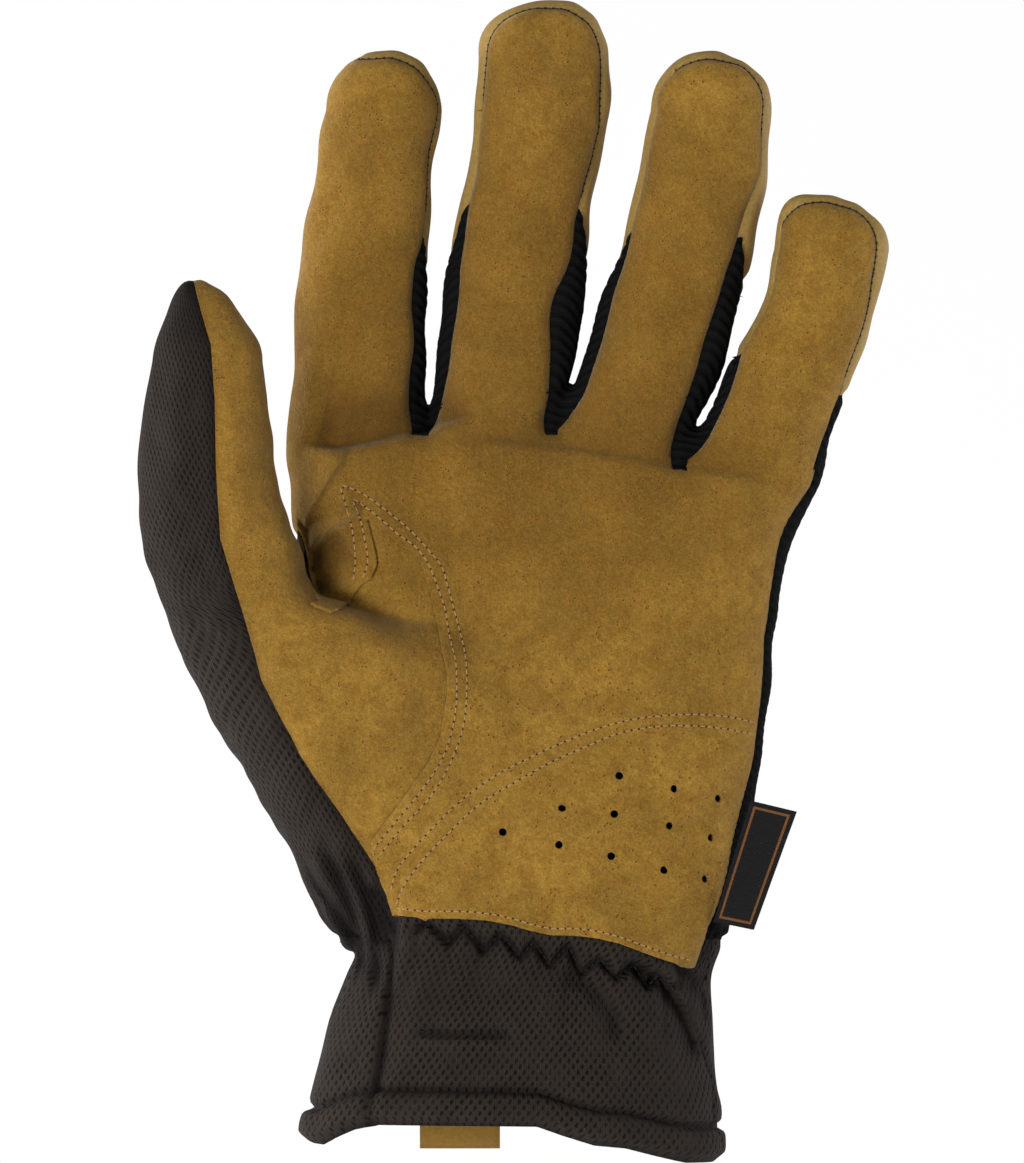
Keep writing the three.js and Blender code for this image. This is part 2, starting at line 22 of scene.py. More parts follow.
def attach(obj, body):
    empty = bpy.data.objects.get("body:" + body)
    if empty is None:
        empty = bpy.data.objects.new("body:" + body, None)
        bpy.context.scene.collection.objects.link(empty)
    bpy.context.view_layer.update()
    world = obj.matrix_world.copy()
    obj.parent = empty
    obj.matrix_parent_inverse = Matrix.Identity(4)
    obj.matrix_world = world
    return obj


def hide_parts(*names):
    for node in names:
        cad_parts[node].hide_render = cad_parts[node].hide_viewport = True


bl_info = {
    "name": "Work Glove",
    "version": (1, 0, 0),
    "blender": (4, 5, 0),
    "location": "View3D > Sidebar > Glove",
    "description": "Leather and knit work glove, panel by panel, with its seams and stitches",
    "category": "Add Mesh",
}

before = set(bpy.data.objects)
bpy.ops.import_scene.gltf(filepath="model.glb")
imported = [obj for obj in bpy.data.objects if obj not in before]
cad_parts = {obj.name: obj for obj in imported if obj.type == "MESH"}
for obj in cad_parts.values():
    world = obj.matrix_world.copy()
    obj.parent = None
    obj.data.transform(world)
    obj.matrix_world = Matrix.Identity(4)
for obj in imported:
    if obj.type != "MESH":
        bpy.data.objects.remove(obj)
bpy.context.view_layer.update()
MM = 0.001

# Photograph: its frame, the size of a pixel in millimetres, and the pixel of the model's origin
PHOTO_SIZE = (1024, 1163)
PIXEL = 0.2155
ORIGIN_PIXEL = (513.0, 1125.0)

Row = namedtuple("Row", "z x half")
Section = namedtuple("Section", "z x half y deep")

# Fingers: sizes at each height, height of the rounded end, bend towards the palm and drift to the side
FINGERS = {
    "index": {
        "tip": 12.4, "curl": 9.0, "drift": 0.5,
        "rows": [
            Row(121.8, -31.7, 12.9), Row(141.2, -32.8, 14.4), Row(149.8, -33.4, 14.9),
            Row(160.5, -33.1, 14.1), Row(172.2, -32.8, 14.0), Row(183.8, -32.2, 13.9),
            Row(195.5, -31.1, 13.0), Row(207.1, -29.7, 12.5), Row(214.9, -28.8, 13.0),
            Row(218.7, -27.9, 12.8),
        ],
    },
    "middle": {
        "tip": 11.9, "curl": 11.0, "drift": 0.0,
        "rows": [
            Row(121.8, -2.8, 12.9), Row(141.2, -4.5, 13.4), Row(149.8, -4.4, 13.6),
            Row(156.7, -3.1, 14.4), Row(168.3, -0.9, 14.9), Row(179.9, 0.3, 15.0),
            Row(191.6, 1.9, 14.6), Row(203.2, 3.8, 14.1), Row(214.9, 5.6, 14.2),
            Row(222.6, 6.5, 14.4), Row(230.4, 6.6, 13.8),
        ],
    },
    "ring": {
        "tip": 12.5, "curl": 10.0, "drift": -1.0,
        "rows": [
            Row(117.4, 27.4, 12.9), Row(139.0, 23.5, 12.9), Row(149.8, 24.3, 14.0),
            Row(156.7, 27.2, 15.1), Row(164.4, 30.2, 15.1), Row(179.9, 34.8, 14.8),
            Row(191.6, 38.0, 14.1), Row(203.2, 40.6, 13.7), Row(214.9, 42.3, 13.4),
            Row(218.7, 42.8, 13.0),
        ],
    },
    "little": {
        "tip": 12.3, "curl": 8.0, "drift": -4.1,
        "rows": [
            Row(113.1, 41.5, 12.0), Row(130.4, 46.8, 12.6), Row(141.2, 52.2, 14.1),
            Row(148.9, 54.2, 13.9), Row(156.7, 57.5, 13.8), Row(164.4, 60.8, 13.8),
            Row(172.2, 64.0, 13.3), Row(179.9, 66.9, 12.5), Row(188.6, 68.6, 12.0),
        ],
    },
}  # fmt: skip
FINGER_DEPTH = 0.78
KNUCKLE_Z = 150.0
FINGER_POWER = 2.3
FINGER_END_POWER = 2.1

THUMB = [
    Section(46.3, -33.8, 7.8, 0.0, 10.0), Section(65.3, -36.2, 15.1, -2.0, 14.5),
    Section(84.3, -38.8, 24.1, -5.0, 16.0), Section(93.7, -41.4, 26.7, -7.0, 16.0),
    Section(103.2, -46.5, 25.8, -9.5, 15.0), Section(108.3, -50.7, 23.6, -11.0, 14.6),
    Section(112.6, -57.4, 18.4, -12.5, 14.2), Section(117.4, -60.8, 16.7, -14.0, 13.9),
    Section(122.2, -62.2, 16.8, -15.5, 13.6), Section(131.7, -64.8, 15.9, -18.5, 13.5),
    Section(140.3, -65.8, 14.8, -21.0, 13.2), Section(148.9, -65.9, 13.8, -23.0, 13.0),
    Section(156.7, -65.6, 12.9, -24.5, 12.5), Section(164.4, -65.5, 11.7, -25.4, 11.8),
]  # fmt: skip
THUMB_POWER = 2.35
THUMB_TIP = {"tip": 17.6, "drift": -3.0, "power": 1.6}

HAND = [
    Section(-10.0, 0.0, 45.2, 0.0, 26.5), Section(-1.5, 0.0, 45.0, 0.0, 26.5),
    Section(3.7, 0.4, 44.4, 0.0, 26.2), Section(8.6, 0.5, 43.4, 0.0, 25.0),
    Section(22.6, 1.6, 41.3, 0.0, 23.0), Section(32.1, 3.3, 39.3, 0.0, 21.0),
    Section(37.5, 5.1, 39.2, 0.0, 20.3), Section(46.3, 5.3, 42.6, 0.0, 20.0),
    Section(60.6, 5.6, 45.0, 0.0, 19.0), Section(79.5, 6.2, 47.0, 0.0, 17.5),
    Section(93.7, 6.2, 48.9, 0.0, 16.2), Section(108.0, 6.4, 49.7, 0.0, 15.2),
    Section(126.9, 6.8, 52.5, 0.0, 13.2), Section(134.7, 7.8, 54.1, 0.0, 12.2),
    Section(141.2, 8.6, 55.8, 0.0, 11.0),
]  # fmt: skip
HAND_POWER = 2.5
KNUCKLE_DOME = {"tip": 9.3, "drift": 0.0, "power": 2.0}
KNUCKLE_SLOPE = 0.076
SLOPE_Z = (126.0, 141.0)  # the knuckles' slope comes in between these heights
PALM_HOLLOW = {"x": 8.0, "z": 102.0, "width": 20.0, "height": 28.0, "deep": 2.2}

# Crotches between the fingers: the height where the white gap between two fingers ends
CROTCH_Z = {"index_middle": 151.2, "middle_ring": 160.0, "ring_little": 151.0}
BLEND = {"fingers": 7.0, "web": 5.5, "free": 0.4, "web_low": 4.0, "web_high": 2.0}
THUMB_BLEND = {  # radii where the thumb runs into the palm, and the heights that they belong to
    "free": 0.8, "free_z": 117.0, "joined": 9.0, "joined_z": 103.0,
    "ball": 11.0, "ball_z": 102.0, "ball_high": 7.0,
}  # fmt: skip

# Leather seams as seen from the palm side, in pixels of the photograph, a row for each height
Edge = namedtuple("Edge", "y left right")
WRAPPED = -400.0  # the leather wraps round this side, so no seam shows
LEATHER_EDGES = {
    "index": [
        Edge(110, WRAPPED, 440.5), Edge(130, WRAPPED, 438.5), Edge(180, WRAPPED, 430.8),
        Edge(219, WRAPPED, 426.5), Edge(248, WRAPPED, 422.9), Edge(262, WRAPPED, 418.2),
        Edge(293, WRAPPED, 414.6), Edge(346, WRAPPED, 416.4), Edge(374, WRAPPED, 413.2),
        Edge(434, WRAPPED, 413.5),
    ],
    "middle": [
        Edge(60, 484.0, 601.5), Edge(110, 478.5, 602.0), Edge(150, 475.0, 599.0),
        Edge(190, 469.8, 587.0), Edge(210, 466.6, 580.7), Edge(224, 464.2, 576.3),
        Edge(243, 461.6, 573.9), Edge(262, 460.4, 571.0), Edge(277, 459.8, 565.5),
        Edge(294, 458.3, 557.1), Edge(318, 454.8, 552.0), Edge(346, 448.8, 551.5),
        Edge(374, 443.1, 551.6), Edge(399, 438.8, 549.9), Edge(420, 434.0, 545.0),
        Edge(434, 427.0, 545.5),
    ],
    "ring": [
        Edge(110, 653.5, 766.0), Edge(150, 643.0, 763.0), Edge(200, 634.0, 752.5),
        Edge(239, 626.8, 740.0), Edge(255, 622.6, 734.5), Edge(272, 618.4, 727.9),
        Edge(294, 611.8, 721.2), Edge(318, 605.3, 713.8), Edge(346, 597.2, 705.2),
        Edge(379, 585.3, 695.2), Edge(399, 577.0, 688.0), Edge(412, 569.8, 683.1),
        Edge(422, 563.7, 679.0), Edge(434, 552.5, 675.2), Edge(451, 540.0, 671.5),
        Edge(469, 540.0, 673.0),
    ],
    "little": [
        Edge(270, 774.0, 877.5), Edge(300, 764.0, 872.5), Edge(320, 755.5, 867.0),
        Edge(340, 745.3, 860.5), Edge(372, 734.8, 850.0), Edge(394, 726.5, 841.5),
        Edge(412, 718.2, 834.0), Edge(427, 710.7, 829.5), Edge(441, 703.8, 825.0),
        Edge(451, 696.4, 822.5), Edge(459, 688.1, 820.3), Edge(469, 678.0, 817.2),
    ],
}  # fmt: skip
FOOT_EDGE = [  # foot of the palm leather, over the gathered wrist
    (394, 914), (426, 917), (459, 917), (486, 919), (512, 924), (532, 930), (552, 934),
    (575, 934), (598, 937), (618, 942), (645, 952), (668, 960), (695, 967), (709, 940),
]  # fmt: skip
VENT_RADIUS = 0.85
VENT_FINE = {"first": 1.9, "second": 1.5}  # how far from a vent's middle the mesh is made finer, twice
VENT_BACK_Y = -8.0  # the palm is in front of this where the vents are
VENTS = [
    (619, 775), (674, 788), (719, 798), (562, 807), (614, 813), (669, 825),
    (712, 837), (503, 831), (559, 844), (611, 855), (664, 869), (705, 878),
]  # fmt: skip
WRIST_PIXEL_Y = 940.0  # the cuff starts here beside and behind the leather
CUFF_SEAM_LEFT = [(905, 394), (960, 392), (1014, 387), (1059, 380), (1084, 376), (1122, 370), (1160, 365)]
CUFF_SEAM_RIGHT = [(950, 676), (985, 684), (1033, 700), (1078, 713), (1160, 722)]
THUMB_SEAM = [  # between the leather and the knit of the thumb
    (262, 195), (280, 195), (300, 200), (345, 213), (400, 217), (470, 218), (540, 222), (600, 240),
    (680, 262), (755, 300), (820, 345), (870, 378), (915, 394), (930, 396),
]  # fmt: skip
LAP_RIGHT = [  # cut edge of the palm leather over the ball of the thumb, from its peak down to the wrist
    (368.5, 519.3), (382, 530.8), (400.4, 546.2), (410.3, 551.1), (418.7, 558.9), (423.6, 568.7),
    (431.3, 596.7), (440.4, 640), (446, 670), (447, 695), (441, 736), (428, 762), (400, 802), (371, 841),
]  # fmt: skip
LAP_LEFT = [  # the same edge on the other side of the peak, down to its rounded end
    (368.5, 519.3), (371, 529.4), (376.6, 553.2), (377.3, 564.5), (371, 579.2), (362.6, 584.8),
    (355.6, 592.5), (351.3, 600.9), (345.7, 607.9), (337.3, 612.8), (330.3, 614.2), (317, 608.6), (300, 596),
]  # fmt: skip
CROTCH_LINE = [(300, 596), (297, 560), (291, 525), (284, 450), (276, 240)]
GUSSET_FOOT = {"index_middle": 433.5, "middle_ring": 434.0, "ring_little": 469.0}
GUSSET_TOP = {  # upper end of each leg of a gusset, as a pixel height, on its left and its right finger
    "index_middle": (218.5, 190.0),
    "middle_ring": (209.6, 209.0),
    "ring_little": (239.0, 339.5),
}
TIP_RIM = {"index": 1.3, "middle": 1.5, "ring": 1.5, "little": 1.6}
TIP_FOOT = {"index": 184.0, "middle": 186.0, "ring": 182.0, "little": 166.0}
LEATHER_WRAP_Y = 5.0  # the palm leather ends here behind the index finger's side of the hand
STRIP_BACK_Y = 6.0
STRIP_LEAST_X = 20.0  # the side strip is only on the little finger's side
HEM_EDGE = [  # lower edge of the cuff, which droops at both corners
    (300, 1141), (317, 1143), (333, 1135), (352, 1127), (375, 1122), (451, 1123), (537, 1124),
    (563, 1133), (595, 1143), (627, 1146), (659, 1154), (690, 1161), (725, 1161),
]  # fmt: skip
BACK_SEAM_RISE = [(0.0, -0.6), (3.0, -0.48), (6.0, -0.25), (14.0, 0.05), (26.0, 0.5)]
INDEX_BACK_SEAM = 0.4
CLAMP_Z = 157.0  # above this the leather's edges stay on the palm side of the fingers' outline
CLAMP_SHARE = 0.955  # and within this share of the half width
INDEX_WRAP_END = 0.75  # share of the rounded end up to which the leather wraps round the index finger
CAP_SIDE = 0.5  # how far back the caps reach down the sides of the fingers, as a share of the depth
LITTLE_DEEP = 10.5  # about half the depth of the little finger
THUMB_BACK_SEAM = 0.3
THUMB_BACK_EDGE = [(34.0, -33.0), (60.0, -38.0), (80.0, -44.0), (100.0, -46.5), (128.0, -47.5)]
STRIP_TOP_Z = 157.0
THUMB_FREE_Y = 604.0  # below this pixel height the thumb is cut from the palm by its outline alone
THUMB_FREE_X = 345.0  # and to the right of this pixel
FINGER_FOOT_Y = 470.0  # pixel height down to which the fingers' own seams go where no gusset is beside them
THUMB_EDGE = [(500, 294), (536, 298), (550, 302), (575, 308), (590, 313), (600, 318), (607, 320)]
STRIP_FRONT_Y = [
    (27.0, -13.7), (34.0, -11.5), (43.0, -10.5), (56.7, -9.3),
    (73.7, -6.2), (100.0, -5.2), (126.0, -5.6), (150.0, -4.0),
]  # fmt: skip

PIECES = [
    "palm_leather", "thumb_leather", "thumb_knit", "back_knit", "side_strip", "cuff_front", "cuff_back",
    "gusset_index_middle", "gusset_middle_ring", "gusset_ring_little",
    "index_tip", "middle_tip", "ring_tip", "little_tip", "waste",
]  # fmt: skip
PIECE = {name: i for i, name in enumerate(PIECES)}


def smooth_table(places, values, at):
    """A smooth curve through a table's values, held level beyond its ends."""
    places = np.asarray(places, float)
    values = np.asarray(values, float)
    slopes = np.gradient(values, places)
    i = np.clip(np.searchsorted(places, at) - 1, 0, len(places) - 2)
    span = places[i + 1] - places[i]
    t = np.clip((at - places[i]) / span, 0.0, 1.0)
    rest = 1.0 - t
    return (
        rest * rest * (1 + 2 * t) * values[i]
        + t * t * (3 - 2 * t) * values[i + 1]
        + t * rest * rest * span * slopes[i]
        - t * t * rest * span * slopes[i + 1]
    )


def step(low, high, value):
    t = np.clip((value - low) / (high - low), 0.0, 1.0)
    return t * t * (3 - 2 * t)


def blend_min(a, b, radius):
    """The lesser of two distances, with the corner between them rounded."""
    share = np.clip(0.5 + 0.5 * (b - a) / radius, 0.0, 1.0)
    return b * (1 - share) + a * share - radius * share * (1 - share)


def pixel_x(x):
    return ORIGIN_PIXEL[0] + x / PIXEL


def pixel_y(z):
    return ORIGIN_PIXEL[1] - z / PIXEL


def pixels(points):
    """Where places show in the photograph."""
    return pixel_x(points[:, 0]), pixel_y(points[:, 2])


def from_pixel(px, py):
    return (px - ORIGIN_PIXEL[0]) * PIXEL, (ORIGIN_PIXEL[1] - py) * PIXEL


class Form:
    """A closed form whose level sections are superellipses, with a rounded end above and below."""

    def __init__(self, z, x, half, y, deep, power, top, foot):
        self.z, self.x, self.half, self.y, self.deep = z, x, half, y, deep
        self.power, self.top, self.foot = power, top, foot

    def section(self, z):
        """Middle, half sizes and the share of the rounded end at a height."""
        inside = np.clip(z, self.z[0], self.z[-1])
        above = np.maximum(z - self.z[-1], 0.0) / self.top["tip"]
        below = np.maximum(self.z[0] - z, 0.0) / self.foot
        x = smooth_table(self.z, self.x, inside) + self.top["drift"] * above * above
        half = smooth_table(self.z, self.half, inside)
        deep = smooth_table(self.z, self.deep, inside)
        y = smooth_table(self.z, self.y, inside)
        return x, y + self.bend(z), half, deep, above + below

    def bend(self, z):
        return 0.0 * z

    def distance(self, x, y, z):
        """Distance from the surface, near enough, and less than nothing inside."""
        cx, cy, half, deep, end = self.section(z)
        u = np.abs(x - cx) / half
        v = np.abs(y - cy) / deep
        flat = np.maximum((u**self.power + v**self.power) ** (1 / self.power), 1e-3)
        q = self.top["power"]
        radius = np.maximum((flat**q + end**q) ** (1 / q), 1e-3)
        across = (flat / radius) ** (q - 1)
        slope_x = across * (u / flat) ** (self.power - 1) / half
        slope_y = across * (v / flat) ** (self.power - 1) / deep
        slope_z = np.where(z > self.z[-1], (end / radius) ** (q - 1) / self.top["tip"], 0.0)
        return (radius - 1) / np.maximum(np.sqrt(slope_x**2 + slope_y**2 + slope_z**2), 1e-3)


class Finger(Form):
    """A finger, bent towards the palm above the knuckles."""

    def __init__(self, table):
        z, x, half = np.array(table["rows"]).T
        top = {"tip": table["tip"], "drift": table["drift"], "power": FINGER_END_POWER}
        super().__init__(z, x, half, np.zeros(len(z)), half * FINGER_DEPTH, FINGER_POWER, top, foot=10.0)
        self.curl = table["curl"]

    def bend(self, z):
        share = np.maximum(z - KNUCKLE_Z, 0.0) / (self.z[-1] + self.top["tip"] - KNUCKLE_Z)
        return -self.curl * share * share


FINGER_FORMS = {name: Finger(table) for name, table in FINGERS.items()}
THUMB_FORM = Form(*np.array(THUMB).T, THUMB_POWER, THUMB_TIP, foot=8.0)
HAND_FORM = Form(*np.array(HAND).T, HAND_POWER, KNUCKLE_DOME, foot=4.0)
FINGER_NAMES = list(FINGERS)
GAPS = [f"{a}_{b}" for a, b in zip(FINGER_NAMES, FINGER_NAMES[1:])]


def gaps_beside(number):
    """The gaps beside a finger, each with the side that it is on."""
    return [(side, GAPS[gap]) for side, gap in ((-1, number - 1), (1, number)) if 0 <= gap < len(GAPS)]


def knuckle_slope(x, z):
    """How much lower the knuckles are towards the little finger's side."""
    return KNUCKLE_SLOPE * (x - HAND[-1].x) * step(*SLOPE_Z, z)


def hand_distance(x, y, z):
    across = (x - PALM_HOLLOW["x"]) / PALM_HOLLOW["width"]
    up = (z - PALM_HOLLOW["z"]) / PALM_HOLLOW["height"]
    hollow = PALM_HOLLOW["deep"] * np.exp(-(across**2 + up**2)) * step(0.0, 8.0, -y)
    return HAND_FORM.distance(x, y - hollow, z + knuckle_slope(x, z))


def thumb_blend(z):
    """How softly the thumb runs into the palm at a height: softest over the ball of the thumb."""
    joined = step(THUMB_BLEND["free_z"], THUMB_BLEND["joined_z"], z)
    ball = np.exp(-(((z - THUMB_BLEND["ball_z"]) / THUMB_BLEND["ball_high"]) ** 2))
    more = THUMB_BLEND["joined"] - THUMB_BLEND["free"]
    return THUMB_BLEND["free"] + more * joined + THUMB_BLEND["ball"] * ball


def skin_distance(points):
    """Distance of points from the glove's smooth skin, in millimetres."""
    x, y, z = points.T
    fingers = [form.distance(x, y, z) for form in FINGER_FORMS.values()]
    joined = fingers[0]
    for gap, left, right in zip(GAPS, fingers, fingers[1:]):
        crotch = CROTCH_Z[gap]
        webbed = step(crotch + BLEND["web_high"], crotch - BLEND["web_low"], z)
        radius = BLEND["free"] + (BLEND["web"] - BLEND["free"]) * webbed
        joined = np.minimum(joined, blend_min(left, right, radius))
    palm = blend_min(joined, hand_distance(x, y, z), BLEND["fingers"])
    return blend_min(palm, THUMB_FORM.distance(x, y, z), thumb_blend(z))


LONGEST_MOVE = 1.5


def onto_skin(points, rounds=3, reach=0.05):
    """Points moved onto the skin along its slope, which is taken by differences."""
    for _ in range(rounds):
        here = skin_distance(points)
        slope = np.stack([skin_distance(points + reach * axis) - here for axis in np.eye(3)], 1) / reach
        squared = np.maximum((slope**2).sum(1), 0.05)
        move = (here / squared)[:, None] * slope
        length = np.linalg.norm(move, axis=1, keepdims=True)
        points = points - move * np.minimum(1.0, LONGEST_MOVE / np.maximum(length, 1e-6))
    return points


VOXEL = 0.9
WEB = {"down": 14.0, "up": 4.0, "side": 8.0, "apart": 1.4, "ball": 1.2, "least": 0.3}
FINGER_SLACK = 0.45  # the fingers start this much too thin, which keeps the narrow gaps between them open


def numbers(bm):
    """The vertices' places as rows of numbers."""
    return np.array([v.co for v in bm.verts])


def directions(bm):
    """The vertices' normals as rows of numbers."""
    return np.array([v.normal for v in bm.verts])


def edge_ends(bm):
    """The indices of the two vertices of each edge."""
    bm.verts.index_update()
    return np.array([[v.index for v in e.verts] for e in bm.edges])


def place(verts, points):
    for v, point in zip(verts, points):
        v.co = point


def push_out(bm, height):
    """Every vertex moved along its normal."""
    place(bm.verts, numbers(bm) + directions(bm) * height[:, None])


def halve(bm, edges):
    """Edges split in half, with the faces beside them."""
    bmesh.ops.subdivide_edges(bm, edges=edges, cuts=1, use_grid_fill=True)
    bmesh.ops.triangulate(bm, faces=[f for f in bm.faces if len(f.verts) > 4])


def as_object(bm, name):
    """A new object in the scene, from a mesh that is ready."""
    mesh = bpy.data.meshes.new(name)
    bm.to_mesh(mesh)
    bm.free()
    obj = bpy.data.objects.new(name, mesh)
    bpy.context.scene.collection.objects.link(obj)
    return obj


def add_form(bm, form, slack=0.0):
    """A rounded form, from a sphere whose points are moved to its sections."""
    made = bmesh.ops.create_uvsphere(bm, u_segments=64, v_segments=72, radius=1.0)["verts"]
    ball = np.array([v.co for v in made])
    low, high = form.z[0] - form.foot, form.z[-1] + form.top["tip"]
    z = (low + high) / 2 + ball[:, 2] * (high - low) / 2
    x, y, half, deep, end = form.section(z)
    around = np.arctan2(ball[:, 1], ball[:, 0])
    c, s = np.cos(around), np.sin(around)
    q = form.top["power"]
    flat = np.maximum(1 - np.minimum(end, 1.0) ** q, 0.0) ** (1 / q)
    radius = flat / (np.abs(c) ** form.power + np.abs(s) ** form.power) ** (1 / form.power)
    half, deep = half - slack, deep - slack
    places = np.stack([x + half * c * radius, y + deep * s * radius, z], 1)
    if form is HAND_FORM:
        places[:, 2] -= knuckle_slope(places[:, 0], z)
    place(made, places)


def add_webs(bm):
    """Small balls that fill the rounded crotches, so that the joined mesh starts near the skin."""
    for gap, (left, right) in zip(GAPS, zip(FINGER_NAMES, FINGER_NAMES[1:])):
        rises = np.arange(-WEB["down"], WEB["up"], WEB["apart"])
        sides = np.arange(-WEB["side"], WEB["side"] + 0.1, WEB["apart"])
        heights, sides = np.meshgrid(rises + CROTCH_Z[gap], sides)
        heights, sides = heights.ravel(), sides.ravel()
        a, b = FINGER_FORMS[left].section(heights), FINGER_FORMS[right].section(heights)
        middle = (a[0] + a[2] + b[0] - b[2]) / 2
        spots = np.stack([middle, (a[1] + b[1]) / 2 + sides, heights], 1)
        for spot, depth in zip(spots, skin_distance(spots)):
            if depth < -WEB["least"]:
                matrix, radius = Matrix.Translation(spot), min(-depth, WEB["ball"]) + WEB["least"]
                bmesh.ops.create_icosphere(bm, subdivisions=1, radius=radius, matrix=matrix)


def voxel_skin():
    """One closed mesh round all the forms, in even squares."""
    bm = bmesh.new()
    for form in FINGER_FORMS.values():
        add_form(bm, form, slack=FINGER_SLACK)
    add_form(bm, THUMB_FORM)
    add_form(bm, HAND_FORM)
    add_webs(bm)
    obj = as_object(bm, "skin")
    mesh = obj.data
    remesh = obj.modifiers.new("Remesh", "REMESH")
    remesh.mode = "VOXEL"
    remesh.voxel_size = VOXEL
    ready = obj.evaluated_get(bpy.context.evaluated_depsgraph_get())
    bm = bmesh.new()
    bm.from_mesh(ready.data)
    bpy.data.objects.remove(obj)
    bpy.data.meshes.remove(mesh)
    return bm


def relaxed(bm, rounds=2):
    """Every vertex moved towards the middle of its neighbours and back onto the skin, a few times."""
    ends = edge_ends(bm)
    points = onto_skin(numbers(bm))
    count = np.bincount(ends.ravel(), minlength=len(points))[:, None]
    for _ in range(rounds):
        total = np.zeros_like(points)
        for axis in range(3):
            total[:, axis] += np.bincount(ends[:, 0], points[ends[:, 1], axis], len(points))
            total[:, axis] += np.bincount(ends[:, 1], points[ends[:, 0], axis], len(points))
        points = onto_skin((points + total / count) / 2, rounds=1)
    return onto_skin(points, rounds=1)


def inside_outline(px, py, outline):
    """Whether points of the picture are inside a closed outline."""
    inside = np.zeros(len(px), bool)
    for (ax, ay), (bx, by) in zip(outline, outline[1:] + outline[:1]):
        if ay == by:
            continue
        spans = (ay > py) != (by > py)
        inside ^= spans & (px < ax + (py - ay) * (bx - ax) / (by - ay))
    return inside


def between(rows, py):
    """An edge's place across the picture at pixel heights, from pairs of height and place."""
    return np.interp(py, *np.array(rows).T)


THUMB_OUTLINE = LAP_RIGHT + [(379, 872), (300, 960), (60, 960), (60, 200), (276, 200)]
THUMB_OUTLINE += CROTCH_LINE[::-1] + LAP_LEFT[::-1]
FOOT_X, FOOT_Y = np.array(FOOT_EDGE).T
HEM_X, HEM_Y = np.array(HEM_EDGE).T
SEAM_Y, SEAM_X = np.array(THUMB_SEAM).T
GUSSET_TOP_Z = {gap: [(ORIGIN_PIXEL[1] - y) * PIXEL for y in tops] for gap, tops in GUSSET_TOP.items()}


def finger_piece(name, places, px, py):
    """Pieces of one finger at places, told apart by its leather's edges and the seams behind them."""
    x, y, z = places.T
    form = FINGER_FORMS[name]
    cx, cy, half, deep, end = form.section(z)
    u, v = (x - cx) / half, (y - cy) / deep
    q = form.top["power"]
    low_py = np.maximum(py, pixel_y(form.z[-1]))
    rows_y, *rows_x = np.array(LEATHER_EDGES[name]).T
    left, right = (smooth_table(rows_y, row_x, low_py) for row_x in rows_x)
    limit = np.where(z > CLAMP_Z, CLAMP_SHARE * half, 100.0) / PIXEL
    if name != "index":
        left = np.maximum(left, pixel_x(cx) - limit)
    right = np.minimum(right, pixel_x(cx) + limit)
    middle = pixel_x(cx)
    reach = np.maximum(np.where(px < middle, middle - left, right - middle), 0.1)
    top = 1 - TIP_RIM[name] / form.top["tip"]
    leather = ((np.abs(px - middle) / reach) ** q + (end / top) ** q < 1) & (v < 0)
    if name == "index":
        leather |= (u < 0) & (v < INDEX_BACK_SEAM * (1 - end / INDEX_WRAP_END)) & (end < INDEX_WRAP_END)
    back = np.where(z > TIP_FOOT[name], PIECE[name + "_tip"], PIECE["back_knit"])
    piece = np.where(leather, PIECE["palm_leather"], back)
    for side, gap in gaps_beside(FINGER_NAMES.index(name)):
        top = GUSSET_TOP_Z[gap][0 if side > 0 else 1]
        facing = ~leather & (side * u > 0)
        piece[facing & (z < top) & (v < between(BACK_SEAM_RISE, top - z))] = PIECE["gusset_" + gap]
        piece[facing & (z >= top) & (v < CAP_SIDE)] = PIECE[name + "_tip"]
    if name == "little":
        outer = ~leather & (u > 0) & (v < STRIP_BACK_Y / LITTLE_DEEP)
        piece = np.where(outer, np.where(z > STRIP_TOP_Z, PIECE["little_tip"], PIECE["side_strip"]), piece)
    return piece


def from_vents(px, py):
    """Distance in millimetres from the nearest vent hole."""
    return np.array([np.hypot(px - x, py - y) for x, y in VENTS]).min(axis=0) * PIXEL


